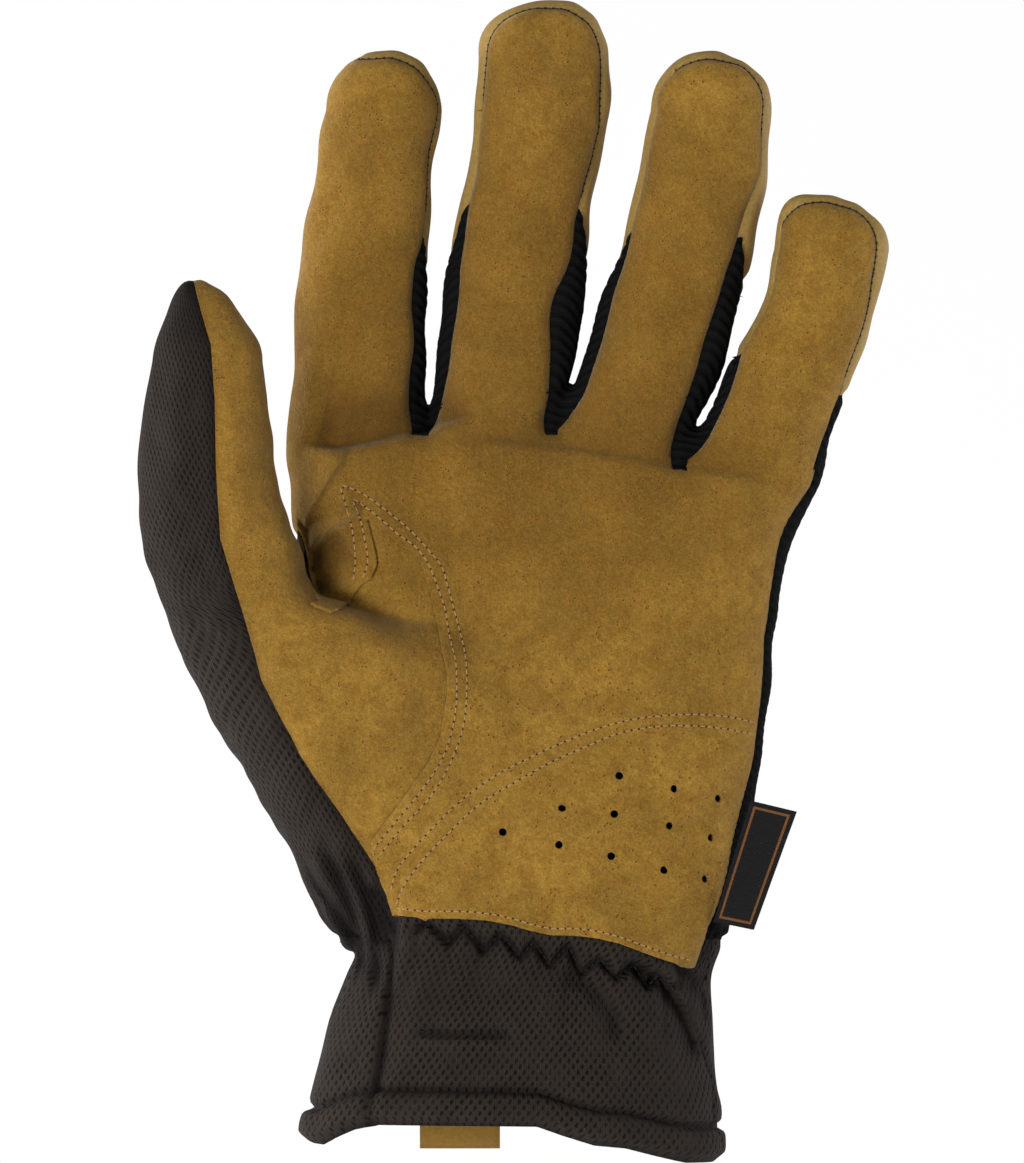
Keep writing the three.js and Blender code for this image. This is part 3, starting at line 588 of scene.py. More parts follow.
def label(places):
    """Which piece each place on the skin belongs to."""
    x, y, z = places.T
    px, py = pixel_x(x), pixel_y(z)
    leather_back = np.where((x < 0) & (py < THUMB_FREE_Y), LEATHER_WRAP_Y, 0.0)
    piece = np.where(y < leather_back, PIECE["palm_leather"], PIECE["back_knit"])
    strip_front = smooth_table(*np.array(STRIP_FRONT_Y).T, z)
    piece[(x > STRIP_LEAST_X) & (y > strip_front) & (y < STRIP_BACK_Y)] = PIECE["side_strip"]
    distances = np.stack([form.distance(x, y, z) for form in FINGER_FORMS.values()])
    nearest = distances.argmin(0)
    for number, name in enumerate(FINGER_NAMES):
        foot = np.full(len(x), FINGER_FOOT_Y)
        for side, gap in gaps_beside(number):
            foot[side * (x - FINGER_FORMS[name].section(z)[0]) > 0] = GUSSET_FOOT[gap]
        mine = (nearest == number) & (py < foot)
        piece[mine] = finger_piece(name, places, px, py)[mine]
    thumb_form = THUMB_FORM.distance(x, y, z)
    rest = np.minimum(distances.min(0), hand_distance(x, y, z))
    outlined = inside_outline(px, py, THUMB_OUTLINE) & (y < 0)
    thumb_side = np.where(py < THUMB_EDGE[1][0], thumb_form < rest, px < between(THUMB_EDGE, py))
    free = (py < THUMB_FREE_Y) & (px < THUMB_FREE_X)
    on_thumb = np.where(free, thumb_side, outlined)
    _, cy, _, deep, _ = THUMB_FORM.section(z)
    behind = (y - cy) / deep > THUMB_BACK_SEAM
    seam = np.interp(py, SEAM_Y, SEAM_X)
    knit = (px < seam) | (free & behind)
    piece = np.where(on_thumb, np.where(knit, PIECE["thumb_knit"], PIECE["thumb_leather"]), piece)
    side_knit = ~on_thumb & (y < 0) & (px < seam) & (py > THUMB_FREE_Y)
    back_side = ~on_thumb & (y >= 0) & (py > THUMB_FREE_Y) & (x < between(THUMB_BACK_EDGE, z))
    piece[side_knit | back_side] = PIECE["thumb_knit"]
    piece[(from_vents(px, py) < VENT_RADIUS) & (y < 0)] = PIECE["waste"]
    over_foot = (px > FOOT_X[0]) & (px < FOOT_X[-1]) & (y < 0)
    foot = np.where(over_foot, np.interp(px, FOOT_X, FOOT_Y), WRIST_PIXEL_Y)
    left, right = between(CUFF_SEAM_LEFT, py), between(CUFF_SEAM_RIGHT, py)
    front = (px > left) & (px < right) & (y < 0)
    piece = np.where(py > foot, np.where(front, PIECE["cuff_front"], PIECE["cuff_back"]), piece)
    return np.where(py > np.interp(px, HEM_X, HEM_Y), PIECE["waste"], piece)


def cut_seams(bm):
    """The mesh's faces cut along the seams. Each face gets its piece's number as its material index."""
    bm.verts.ensure_lookup_table()
    bm.edges.ensure_lookup_table()
    points = numbers(bm)
    labels = label(points)
    ends = edge_ends(bm)
    crossing = np.flatnonzero(labels[ends[:, 0]] != labels[ends[:, 1]])
    a, b = points[ends[crossing, 0]], points[ends[crossing, 1]]
    low, high = np.zeros(len(crossing)), np.ones(len(crossing))
    first = labels[ends[crossing, 0]]
    for _ in range(9):
        middle = (low + high) / 2
        same = label(a + (b - a) * middle[:, None]) == first
        low, high = np.where(same, middle, low), np.where(same, high, middle)
    share = np.clip((low + high) / 2, 0.08, 0.92)
    edges = [bm.edges[i] for i in crossing]
    starts = [bm.verts[i] for i in ends[crossing, 0]]
    new = [bmesh.utils.edge_split(e, v, s)[1] for e, v, s in zip(edges, starts, share)]
    bmesh.ops.connect_verts(bm, verts=new, check_degenerate=True)
    middles = np.array([f.calc_center_median() for f in bm.faces])
    for face, number in zip(bm.faces, label(middles)):
        face.material_index = int(number)
    return new


# A ridge and a crease are bells across, a crest is steep on one side, and a brow sinks on one side
Fold = namedtuple("Fold", "kind deep wide line")
FOLD_END = 0.2  # share of a fold's length over which it fades out at each end
BROW_RISE = 0.3
CREST = {"steep": 1.7, "narrow": 0.3}
CUFF_SEAM_DRAWN = [(px, py) for py, px in CUFF_SEAM_LEFT[:-1]]
BROW = [(297, 444), (316, 451), (340, 453), (374, 447), (410, 437), (438, 429), (480, 418)]
FOLDS = [
    Fold("brow", 4.6, 6.5, BROW),
    Fold("brow", 1.2, 7.0, [(446, 438), (490, 446), (560, 452), (620, 462), (740, 480), (800, 492)]),
    Fold("crest", 2.4, 3.2, [(352, 448), (338, 466), (323, 487), (315, 501), (307, 517), (299, 538)]),
    Fold("crest", 3.6, 3.4, [(366, 506), (350, 514), (338, 521), (326, 531), (314, 544), (302, 560)]),
    Fold("crease", 1.4, 4.5, [(352, 541), (338, 550), (324, 563), (314, 578)]),
    Fold("brow", 3.4, 4.0, [(291, 512), (298, 536), (302, 550), (308, 575), (313, 590), (319, 606)]),
    Fold("ridge", 0.6, 5.0, [(460, 646), (510, 655), (560, 660), (635, 667)]),
    Fold("crease", 0.6, 3.5, [(470, 676), (540, 690), (600, 697), (670, 690)]),
    Fold("crease", 1.3, 6.0, [(312, 430), (350, 430), (390, 424), (440, 408)]),
    Fold("crease", 0.4, 4.0, [(300, 372), (330, 382), (360, 396), (400, 402)]),
    Fold("crease", 0.6, 2.5, [(366, 580), (396, 566), (432, 590)]),
    Fold("crease", 2.2, 1.6, [(622, 958), (644, 970), (664, 986), (680, 1008), (690, 1036), (696, 1066)]),
    Fold("ridge", 1.0, 1.8, [(640, 958), (664, 972), (684, 992), (697, 1020), (704, 1050)]),
    Fold("crease", 2.0, 1.5, [(668, 960), (688, 974), (700, 992), (710, 1024), (712, 1050)]),
    Fold("crease", 1.6, 1.4, [(722, 922), (710, 946), (703, 966), (704, 990)]),
    Fold("crease", 0.9, 0.8, CUFF_SEAM_DRAWN),
    Fold("crease", 1.1, 0.9, [(410, 1030), (420, 1030), (462, 1032), (504, 1031), (514, 1030)]),
    Fold("ridge", 0.7, 0.9, [(414, 1039), (424, 1039), (462, 1040), (500, 1040), (510, 1039)]),
    Fold("crease", 1.2, 1.8, [(560, 966), (590, 985), (612, 1012), (622, 1044)]),
    Fold("crease", 2.4, 1.7, [(318, 838), (332, 862), (345, 890), (356, 918), (362, 950), (360, 985)]),
    Fold("crease", 2.2, 1.6, [(344, 846), (358, 874), (369, 900), (376, 930), (378, 960), (374, 1000)]),
    Fold("crease", 2.0, 1.6, [(300, 862), (316, 886), (334, 908), (347, 930), (352, 955), (344, 985)]),
    Fold("crease", 1.8, 1.3, [(370, 880), (380, 900), (388, 925), (390, 950)]),
    Fold("ridge", 0.9, 1.6, [(330, 842), (344, 868), (356, 894), (365, 922), (369, 955)]),
]
ZIGZAG_LINE = [
    (412, 935), (426, 921), (448, 941), (464, 925), (483, 949), (501, 933), (520, 955), (534, 941),
    (550, 963), (568, 944), (582, 971), (600, 958), (617, 976), (633, 964), (647, 985), (660, 972),
    (674, 990), (684, 978),
]  # fmt: skip
ZIGZAG = {"deep": 1.9, "wide": 0.8, "end": 0.03}
FINE_LINES = [  # lines of the picture beside which the mesh is finer, and how far
    (2.2, ZIGZAG_LINE),
    (2.0, BROW[:-3]),
    (4.0, [(330, 480), (315, 503), (300, 540), (310, 575), (322, 605)]),
    (3.0, [(350, 515), (315, 544), (340, 600)]),
    (1.2, LAP_RIGHT),
    (1.2, LAP_LEFT),
    (1.6, [(414, 1034), (510, 1034)]),
    (1.3, CUFF_SEAM_DRAWN),
]
WAVES = [  # gentle unevenness of the cloth: height, wave length and direction
    (0.24, 24.0, (0.9, 0.3, 0.4)),
    (0.20, 17.0, (-0.4, 0.5, 0.8)),
    (0.15, 11.0, (0.7, -0.6, -0.5)),
    (0.10, 7.5, (-0.8, -0.3, 0.6)),
]
WRIST = {"half": 39.2, "deep": 20.3, "z": 37.0, "pleats": 28, "depth": 2.1, "width": 0.2, "phase": -0.27}
# How far the pleats run. Between left and right the foot of the leather keeps them short and shallow.
PLEATS = {"down": 10.0, "up": 13.0, "vary": 6.0, "left": -24.0, "right": 42.0, "short": 0.9, "shallow": 0.6}
GATHER_LINE = [
    (-45.0, 40.0), (-22.0, 42.5), (-3.0, 40.5), (12.0, 38.5), (25.0, 35.0), (38.0, 30.0), (46.0, 36.0),
]  # fmt: skip
HEM_BAND = {"high": 7.6, "rise": 1.2, "dip": 1.5, "dip_wide": 0.9, "roll": 1.8, "roll_high": 2.4}
HEM_FINE = {"edge": 2.6, "below": 1.0, "dip": 1.3}  # the mesh is finer this near the hem's edge and dip
SEAM_DIP = {"deep": 0.7, "wide": 1.3}
LAP_FREE_X = 321.0  # left of this the palm leather isn't lapped over the thumb's leather
CREASE_SHADE_DEPTH = 2.2  # a crease this deep gets the full painted shade
LAP = {"rise": 0.8, "fade": 9.0}
LAPPED = [("palm_leather", "thumb_leather"), ("palm_leather", "cuff_front")]
RIB = {"pitch": 2.3, "deep": 0.22, "slant": 0.75, "fine": 0.55}


def drawn_distance(px, py, line):
    """Distance in millimetres from a line drawn on the picture, the side of it and the way along it."""
    best = np.full(len(px), 1e9)
    side = np.zeros(len(px))
    way = np.zeros(len(px))
    start = 0.0
    for (ax, ay), (bx, by) in zip(line, line[1:]):
        length = math.hypot(bx - ax, by - ay)
        tx, ty = (bx - ax) / length, (by - ay) / length
        t = np.clip((px - ax) * tx + (py - ay) * ty, 0, length)
        away = np.hypot(px - ax - t * tx, py - ay - t * ty)
        closer = away < best
        best = np.where(closer, away, best)
        side = np.where(closer, tx * (py - ay) - ty * (px - ax), side)
        way = np.where(closer, start + t, way)
        start += length
    return best * PIXEL, np.sign(side), way / start


def fold_height(points, normals):
    """Height of the drawn folds of the palm side, each fading out at its ends."""
    px, py = pixels(points)
    total = np.zeros(len(points))
    for fold in FOLDS:
        away, side, way = drawn_distance(px, py, fold.line)
        fade = step(0.0, FOLD_END, way) * step(1.0, 1.0 - FOLD_END, way)
        if fold.kind == "brow":
            signed = away * side
            sunk = -fold.deep * np.exp(-away / fold.wide) * step(-0.3, -1.5, signed)
            raised = np.exp(-(((signed - 2.0) / fold.wide) ** 2)) * step(-1.5, 1.0, signed)
            height = sunk + BROW_RISE * fold.deep * raised
        elif fold.kind == "crest":
            gentle = np.exp(-away / fold.wide)
            sharp = np.exp(-away / (CREST["narrow"] * fold.wide))
            steep = CREST["steep"] * sharp - (CREST["steep"] - 1) * gentle
            height = fold.deep * np.where(side < 0, steep, gentle)
        else:
            bell = fold.deep * np.exp(-((away / fold.wide) ** 2))
            height = bell if fold.kind == "ridge" else -bell
        total += height * fade
    return total * step(0.05, 0.5, -normals[:, 1])


def round_wrist(points):
    """How far round the wrist each place is in millimetres, with nought at the middle of the palm side."""
    turns = np.linspace(-math.pi, math.pi, 721)
    c, s = np.sin(turns), -np.cos(turns)
    radius = (np.abs(c) ** HAND_POWER + np.abs(s) ** HAND_POWER) ** (-1 / HAND_POWER)
    x, y = WRIST["half"] * c * radius, WRIST["deep"] * s * radius
    length = np.concatenate([[0.0], np.cumsum(np.hypot(np.diff(x), np.diff(y)))])
    cx, cy, half, deep, _ = HAND_FORM.section(points[:, 2])
    turn = np.arctan2((points[:, 0] - cx) / half, -(points[:, 1] - cy) / deep)
    return np.interp(turn, turns, length - length[360]), length[-1]


def pleat_height(points, normals):
    """Pleats where the wrist is drawn in. They run down into the cuff and up into the knit."""
    way, whole = round_wrist(points)
    pitch = whole / WRIST["pleats"]
    z = points[:, 2]
    line = np.where(points[:, 1] < 0, np.interp(points[:, 0], *np.array(GATHER_LINE).T), WRIST["z"])
    phase = way / pitch + WRIST["phase"] + 0.05 * np.sin(way / 9.0) + 0.06 * np.sin((line - z) / 7.0 + way)
    number = np.round(phase)
    away = phase - number
    uneven = 0.85 + 0.3 * np.sin(number * 2.4) + 0.2 * np.sin(number * 5.1)
    valley = -np.exp(-((away / WRIST["width"]) ** 2)) + 0.35 * np.cos(2 * math.pi * away)
    below = PLEATS["down"] + PLEATS["vary"] * np.sin(number * 1.7)
    knit = (points[:, 0] < PLEATS["left"]) | (normals[:, 1] > 0) | (points[:, 0] > PLEATS["right"])
    above = np.where(knit, PLEATS["up"] + PLEATS["vary"] * np.sin(number * 3.1), PLEATS["short"])
    drop = line - z
    fade = np.exp(-((drop / np.where(drop > 0, below, above)) ** 2))
    front = np.where(knit, 1.0, PLEATS["shallow"])
    return WRIST["depth"] * front * uneven * valley * fade


def zigzag_height(points, normals):
    """The sharp crease that the elastic draws up under the leather's foot."""
    away, _, share = drawn_distance(*pixels(points), ZIGZAG_LINE)
    fade = step(0.0, ZIGZAG["end"], share) * step(1.0, 1.0 - ZIGZAG["end"], share)
    zigzag = -ZIGZAG["deep"] * np.exp(-((away / ZIGZAG["wide"]) ** 2)) * fade
    return np.where(normals[:, 1] < -0.2, zigzag, 0.0)


def hem_height(points):
    """The turned-up hem: a thicker band with a dip along its stitches and a rolled lower edge."""
    px, py = pixels(points)
    up = (np.interp(px, HEM_X, HEM_Y) - py) * PIXEL
    round_band = np.sqrt(np.clip(1 - ((up - HEM_BAND["high"] / 2) / (HEM_BAND["high"] / 2)) ** 2, 0.0, 1.0))
    band = HEM_BAND["rise"] * round_band
    dip = HEM_BAND["dip"] * np.exp(-(((up - HEM_BAND["high"]) / HEM_BAND["dip_wide"]) ** 2))
    roll = HEM_BAND["roll"] * step(HEM_BAND["roll_high"], 0.0, up)
    return band - dip - roll


def wave_height(points):
    """Gentle unevenness of stuffed cloth."""
    total = np.zeros(len(points))
    for number, (height, length, direction) in enumerate(WAVES):
        d = np.array(direction) / np.linalg.norm(direction)
        bend = 1.7 * np.sin(points @ np.roll(d, 1) / length * 2.3)
        total += height * np.sin(2 * math.pi * points @ d / length + bend + number)
    return total


def seam_edges(bm):
    """Each edge between two pieces, with the names of both."""
    for e in bm.edges:
        faces = e.link_faces
        if len(faces) == 2 and faces[0].material_index != faces[1].material_index:
            yield e, {PIECES[face.material_index] for face in faces}


def seam_points(bm, wanted):
    """Points along the seams between pieces for which wanted(pair of names) is true."""
    found = set()
    for e, names in seam_edges(bm):
        if wanted(names):
            found.update(e.verts)
    return [v.co.copy() for v in found]


def away_from(places, seams):
    """Distance of each place from the nearest seam point."""
    tree = KDTree(len(seams))
    for i, seam in enumerate(seams):
        tree.insert(seam, i)
    tree.balance()
    return np.array([tree.find(place)[2] for place in places])


def crumple(bm):
    """The smooth skin gets its folds, gathers, hem and seams, and the depth of its creases for the painted
    shade in them.
    """
    bm.normal_update()
    points = numbers(bm)
    normals = directions(bm)
    lapped = [set(pair) for pair in LAPPED]
    sewn = seam_points(bm, lambda pair: pair not in lapped and "waste" not in pair)
    dip = SEAM_DIP["deep"] * np.exp(-((away_from(points, sewn) / SEAM_DIP["wide"]) ** 2))
    folds = fold_height(points, normals)
    height = pleat_height(points, normals) + zigzag_height(points, normals) + hem_height(points)
    # Painted shade: the depth of each fold, pleat, hem dip and seam dip, kept in the attribute named crease,
    # darkens the colour there
    layer = bm.verts.layers.float.new("crease")
    for v, depth in zip(bm.verts, np.clip((dip * 1.3 - height - folds) / CREASE_SHADE_DEPTH, 0.0, 1.0)):
        v[layer] = depth
    height += wave_height(points) - dip
    place(bm.verts, points + normals * height[:, None] + folds[:, None] * np.array([0.0, -1.0, 0.0]))
    bm.normal_update()


def glove_skin():
    """The whole glove as one mesh in millimetres, with each face's piece as its material index."""
    bm = voxel_skin()
    place(bm.verts, relaxed(bm))
    refine(bm, fine_places)
    refine(bm, vent_places)
    cut_seams(bm)
    crumple(bm)
    return bm


def fine_places(points):
    """Whether each place is on the palm side, near a line that needs a finer mesh."""
    px, py = pixels(points)
    near = (from_vents(px, py) < VENT_FINE["first"]) & (points[:, 1] < VENT_BACK_Y)
    for reach, line in FINE_LINES:
        away, _, _ = drawn_distance(px, py, line)
        near |= away < reach
    above_hem = (np.interp(px, HEM_X, HEM_Y) - py) * PIXEL
    near |= (above_hem < HEM_FINE["edge"]) & (above_hem > -HEM_FINE["below"])
    near |= np.abs(above_hem - HEM_BAND["high"]) < HEM_FINE["dip"]
    return near & (points[:, 1] < 0)


def vent_places(points):
    """Whether each place is so near a vent hole that the mesh is made finer once more."""
    return (from_vents(*pixels(points)) < VENT_FINE["second"]) & (points[:, 1] < VENT_BACK_Y)


def refine(bm, fine):
    """Smaller faces where fine(places) is true."""
    points = numbers(bm)
    ends = edge_ends(bm)
    near = fine((points[ends[:, 0]] + points[ends[:, 1]]) / 2)
    halve(bm, [e for e, wanted in zip(bm.edges, near) if wanted])


SURFACES = {}  # the outer face of each panel, for the stitches to be laid on


@cache
def shared_skin():
    """The skin, made once for all the panels."""
    return glove_skin()


def finished(bm, name, node, material):
    """A piece from a mesh in millimetres, in its place in the scene."""
    bmesh.ops.scale(bm, verts=bm.verts, vec=(MM, MM, MM))
    obj = as_object(bm, name)
    obj.data.shade_smooth()
    obj.data.materials.append(material)
    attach(obj, "root")
    if node:
        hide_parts(node)
    return obj


def thicken(obj, wall, offset=-1.0):
    """A sheet gets its thickness: on the inside, or on both sides when the offset is nought."""
    solid = obj.modifiers.new("Wall", "SOLIDIFY")
    solid.thickness = wall
    solid.offset = offset


def round_edges(obj, width, segments):
    bevel = obj.modifiers.new("Edge", "BEVEL")
    bevel.width = width
    bevel.segments = segments


def lift_laps(bm, whole, name):
    """A panel that lies over its neighbour is raised along its edge."""
    pairs = [set(pair) for pair in LAPPED if pair[0] == name]
    if not pairs:
        return
    seams = [at for at in seam_points(whole, lambda pair: pair in pairs) if pixel_x(at.x) > LAP_FREE_X]
    push_out(bm, LAP["rise"] * step(LAP["fade"], 1.0, away_from(numbers(bm), seams)))


def lay_flat(bm, way):
    """A map in millimetres of the piece, from a function that gives places on the map."""
    layer = bm.loops.layers.uv.new("UVMap")
    points = numbers(bm)
    u, v, whole = way(points)
    bm.verts.index_update()
    for face in bm.faces:
        corners = [u[loop.vert.index] for loop in face.loops]
        torn = whole and max(corners) - min(corners) > whole / 2
        for loop, across in zip(face.loops, corners):
            up = v[loop.vert.index]
            loop[layer].uv = ((across + whole if torn and across < 0 else across) / 100, up / 100)


def cuff_map(points):
    way, whole = round_wrist(points)
    return way, points[:, 2], whole


def back_map(points):
    return points[:, 0], points[:, 2], 0.0


THUMB_MAP = {"radius": 19.0, "lean": 0.25, "x": -50.0}


def thumb_map(points):
    """Round the thumb and along it. The thumb leans, so its rows follow its middle line."""
    x, y, z = points.T
    cx, cy, _, _, _ = THUMB_FORM.section(z)
    turn = np.arctan2(y - cy, cx - x)
    return turn * THUMB_MAP["radius"], z + THUMB_MAP["lean"] * (x - THUMB_MAP["x"]), 0.0


def gusset_map(points):
    return points[:, 1], points[:, 2], 0.0


def raise_ribs(bm):
    """Slanting ribs of the stretch cloth, which scallop its outline."""
    halve(bm, bm.edges[:])
    bm.normal_update()
    _, y, z = numbers(bm).T
    push_out(bm, RIB["deep"] * np.sin((z + RIB["slant"] * y) * 2 * math.pi / RIB["pitch"]))


def panel(name, slot, material, wall, way=None):
    """One panel of the skin as a piece of the glove."""
    whole = shared_skin()
    bm = whole.copy()
    others = [f for f in bm.faces if f.material_index != PIECE[name]]
    if len(others) == len(bm.faces):
        raise RuntimeError(f"the skin has no faces for {name}")
    bmesh.ops.delete(bm, geom=others, context="FACES")
    for face in bm.faces:
        face.material_index = 0
    bm.normal_update()
    lift_laps(bm, whole, name)
    if slot == "stretch":
        raise_ribs(bm)
    if way:
        lay_flat(bm, way)
    SURFACES[name] = BVHTree.FromBMesh(bm)
    obj = finished(bm, name + "_panel", name, material)
    thicken(obj, wall)
    return obj


class Wire:
    """The output of a shader node, on which sums can be written."""

    def __init__(self, nodes, socket):
        self.nodes, self.socket = nodes, socket

    def maths(self, operation, *others):
        return self.nodes.add("ShaderNodeMath", {"operation": operation}, dict(enumerate([self, *others])))

    def __add__(self, other):
        return self.maths("ADD", other)

    __radd__ = __add__

    def __mul__(self, other):
        return self.maths("MULTIPLY", other)

    __rmul__ = __mul__

    def __sub__(self, other):
        return self.maths("SUBTRACT", other)

    def __rsub__(self, other):
        return self.maths("MULTIPLY", -1.0).maths("ADD", other)

    def __truediv__(self, other):
        return self.maths("DIVIDE", other)

    def __pow__(self, other):
        return self.maths("POWER", other)

    def size(self):
        return self.maths("ABSOLUTE")

    def part(self):
        return self.maths("FRACT")

    def whole(self):
        return self.maths("FLOOR")

    def wave(self):
        return self.maths("SINE")

    def root(self):
        return self.maths("SQRT")

    def step(self, low, high):
        """From 0 at low to 1 at high, smoothly. Low may be the greater."""
        return self.nodes.add(
            "ShaderNodeMapRange",
            {"interpolation_type": "SMOOTHSTEP"},
            {"Value": self, "From Min": low, "From Max": high},
        )


class Finish:
    """A material, and the methods that put its shader together."""

    def __init__(self, name, roughness, **constants):
        self.material = bpy.data.materials.new(name)
        self.material.use_nodes = True
        self.tree = self.material.node_tree
        self.shader = self.tree.nodes["Principled BSDF"]
        self.shader.inputs["Roughness"].default_value = roughness
        for key, value in constants.items():
            self.shader.inputs[key.replace("_", " ").title().replace("Ior", "IOR")].default_value = value

    def add(self, kind, settings, inputs, output=0):
        """Any node, with its settings and what goes into it."""
        node = self.tree.nodes.new(kind)
        for key, value in settings.items():
            setattr(node, key, value)
        for key, value in inputs.items():
            self.join(value, node.inputs[key])
        return Wire(self, node.outputs[output])

    def join(self, value, socket):
        if isinstance(value, Wire):
            self.tree.links.new(value.socket, socket)
        else:
            socket.default_value = value

    def feed(self, name, value):
        self.join(value, self.shader.inputs[name])

    def place(self):
        """Places on the object in millimetres."""
        here = self.add("ShaderNodeTexCoord", {}, {}, "Object")
        return self.add("ShaderNodeVectorMath", {"operation": "SCALE"}, {0: here, "Scale": 1000.0})

    def flat_place(self):
        """Places on the piece's own map, in millimetres."""
        here = self.add("ShaderNodeUVMap", {"uv_map": "UVMap"}, {})
        return self.add("ShaderNodeVectorMath", {"operation": "SCALE"}, {0: here, "Scale": 100.0})

    def parts(self, vector):
        split = self.add("ShaderNodeSeparateXYZ", {}, {0: vector})
        return [Wire(self, out) for out in split.socket.node.outputs]

    def noise(self, place, size, detail=2.0, rough=0.5):
        """Noise from 0 to 1 with features of about a size in millimetres."""
        inputs = {"Vector": place, "Scale": 1.0 / size, "Detail": detail, "Roughness": rough}
        return self.add("ShaderNodeTexNoise", {}, inputs, "Fac")

    def cells(self, place, size):
        """Distance from the nearest of many scattered points, which are about a size apart."""
        inputs = {"Vector": place, "Scale": 1.0 / size, "Randomness": 1.0}
        return self.add("ShaderNodeTexVoronoi", {"feature": "F1"}, inputs, "Distance")

    def crease(self):
        """Painted shade, from 0 on the open cloth to 1 down in its creases and seam dips, as set on the
        mesh.
        """
        return self.add("ShaderNodeAttribute", {"attribute_name": "crease"}, {}, "Fac")

    def mix(self, share, a, b):
        return self.add("ShaderNodeMix", {"data_type": "RGBA"}, {0: share, 6: a, 7: b}, 2)

    def tint(self, base, share, low, high):
        """A colour made darker or lighter, from one factor to the other as the share goes from 0 to 1."""
        factor = share * (high - low) + low
        return self.add("ShaderNodeVectorMath", {"operation": "SCALE"}, {0: base, "Scale": factor})

    def bump(self, height, millimetres):
        inputs = {"Height": height, "Distance": millimetres * MM, "Strength": 1.0}
        return self.add("ShaderNodeBump", {}, inputs)


def tone(colour, *factors):
    """A colour made darker or lighter by one factor, or by one each for red, green and blue."""
    return (*(part * factor for part, factor in zip(colour, factors * 3)), 1.0)


PALE = {"z": 165.0, "from": 34.0, "to": 88.0}  # the suede gets paler between two distances from here
PINHOLE = {"wide": 0.27, "high": 0.5}
KNIT_RIB = 0.44


def suede(colour):
    """Pigskin suede: a soft nap, broad mottling, and pores in small groups. It is darkest in the palm."""
    look = Finish("glove_suede", 0.95, specular_ior_level=0.08, sheen_weight=0.2, sheen_roughness=0.45)
    look.feed("Sheen Tint", (1.0, 0.8, 0.5, 1.0))
    place = look.place()
    x, _, z = look.parts(place)
    from_palm = ((x ** 2) + ((z - PALE["z"]) ** 2)).root()
    broad = look.noise(place, 17.0, 3.0)
    middle = look.noise(place, 3.6, 3.0, 0.65)
    small = look.noise(place, 1.1, 3.0, 0.7)
    nap = look.noise(place, 0.42, 3.0, 0.8)
    group = look.noise(place, 3.2, 1.0).step(0.48, 0.6)
    cell = look.cells(place, 1.2)
    pores = cell.step(0.24, 0.12) * group
    halo = (cell.step(0.5, 0.25) - pores) * group
    pale = from_palm.step(PALE["from"], PALE["to"])
    base = look.mix(pale, tone(colour, 1.0), tone(colour, 1.4, 1.46, 1.52))
    base = look.tint(base, broad.step(0.3, 0.7), 0.76, 1.06)
    base = look.mix(middle.step(0.4, 0.66) * 0.5, base, tone(colour, 0.86, 0.74, 0.6))
    base = look.tint(base, small.step(0.3, 0.7), 0.85, 1.1)
    base = look.tint(base, nap.step(0.3, 0.7), 0.72, 1.2)
    base = look.mix(halo * 0.35, base, tone(colour, 1.7, 1.35, 0.8))
    base = look.mix(pores * 0.7, base, tone(colour, 0.5, 0.36, 0.3))
    # painted shade: darker down in the creases and seam dips
    base = look.mix(look.crease() * 0.62, base, tone(colour, 0.34, 0.28, 0.25))
    look.feed("Base Color", base)
    height = nap * 0.4 + small * 0.5 + middle * 1.0 - pores * 0.7 + halo * 0.25
    look.feed("Normal", look.bump(height, 0.4))
    return look.material


def smooth_leather(name, colour):
    """Leather with its grain side out: fine grain, with slightly uneven dye."""
    look = Finish(name, 0.7, specular_ior_level=0.2)
    place = look.place()
    grain = look.noise(place, 0.8, 3.0, 0.6)
    base = look.mix(look.noise(place, 12.0, 2.0), tone(colour, 0.88), tone(colour, 1.12))
    base = look.tint(base, grain.step(0.3, 0.7), 0.86, 1.1)
    # painted shade: darker down in the creases and seam dips
    look.feed("Base Color", look.mix(look.crease() * 0.4, base, tone(colour, 0.4)))
    look.feed("Normal", look.bump(grain + look.noise(place, 3.0) * 0.8, 0.12))
    return look.material


def knit(colour, across, up):
    """Close knit with staggered pinholes, whose shade is painted, and a fine rib between them."""
    look = Finish("glove_knit", 0.9, specular_ior_level=0.12)
    here = look.flat_place()
    u, v, _ = look.parts(here)
    wobble = look.noise(here, 2.6, 1.0) - 0.5
    row = v / (up / 2) + wobble * 0.2
    stagger = (row.whole() * 0.5).part()
    x = ((u + wobble * 0.3) / across + stagger).part() - 0.5
    y = row.part() - 0.5
    slant = x - y * 0.16
    far = ((slant * (across / PINHOLE["wide"])) ** 2 + (y * (up / 2 / PINHOLE["high"])) ** 2).root()
    hole_shade = far.step(1.15, 0.45)
    depth = look.noise(here, 7.0, 2.0).step(0.25, 0.6) * 0.6 + 0.4
    rib = (u * (2 * math.pi / KNIT_RIB)).wave() * 0.5 + 0.5
    fuzz = look.noise(here, 0.28, 2.0, 0.7)
    base = look.mix(look.noise(here, 9.0) * 0.4 + fuzz * 0.6, tone(colour, 0.6), tone(colour, 1.45))
    # painted shade: darker down in the creases, pleats and seam dips
    base = look.mix(look.crease() * 0.8, base, tone(colour, 0.12))
    # painted shade: the pinholes are not cut, so their dark is painted, more where they look deeper
    look.feed("Base Color", look.mix(hole_shade * depth * 0.95, base, tone(colour, 0.1)))
    height = rib * 0.1 + fuzz * 0.25 + far.step(0.3, 1.7) * depth
    look.feed("Normal", look.bump(height, 0.55))
    return look.material


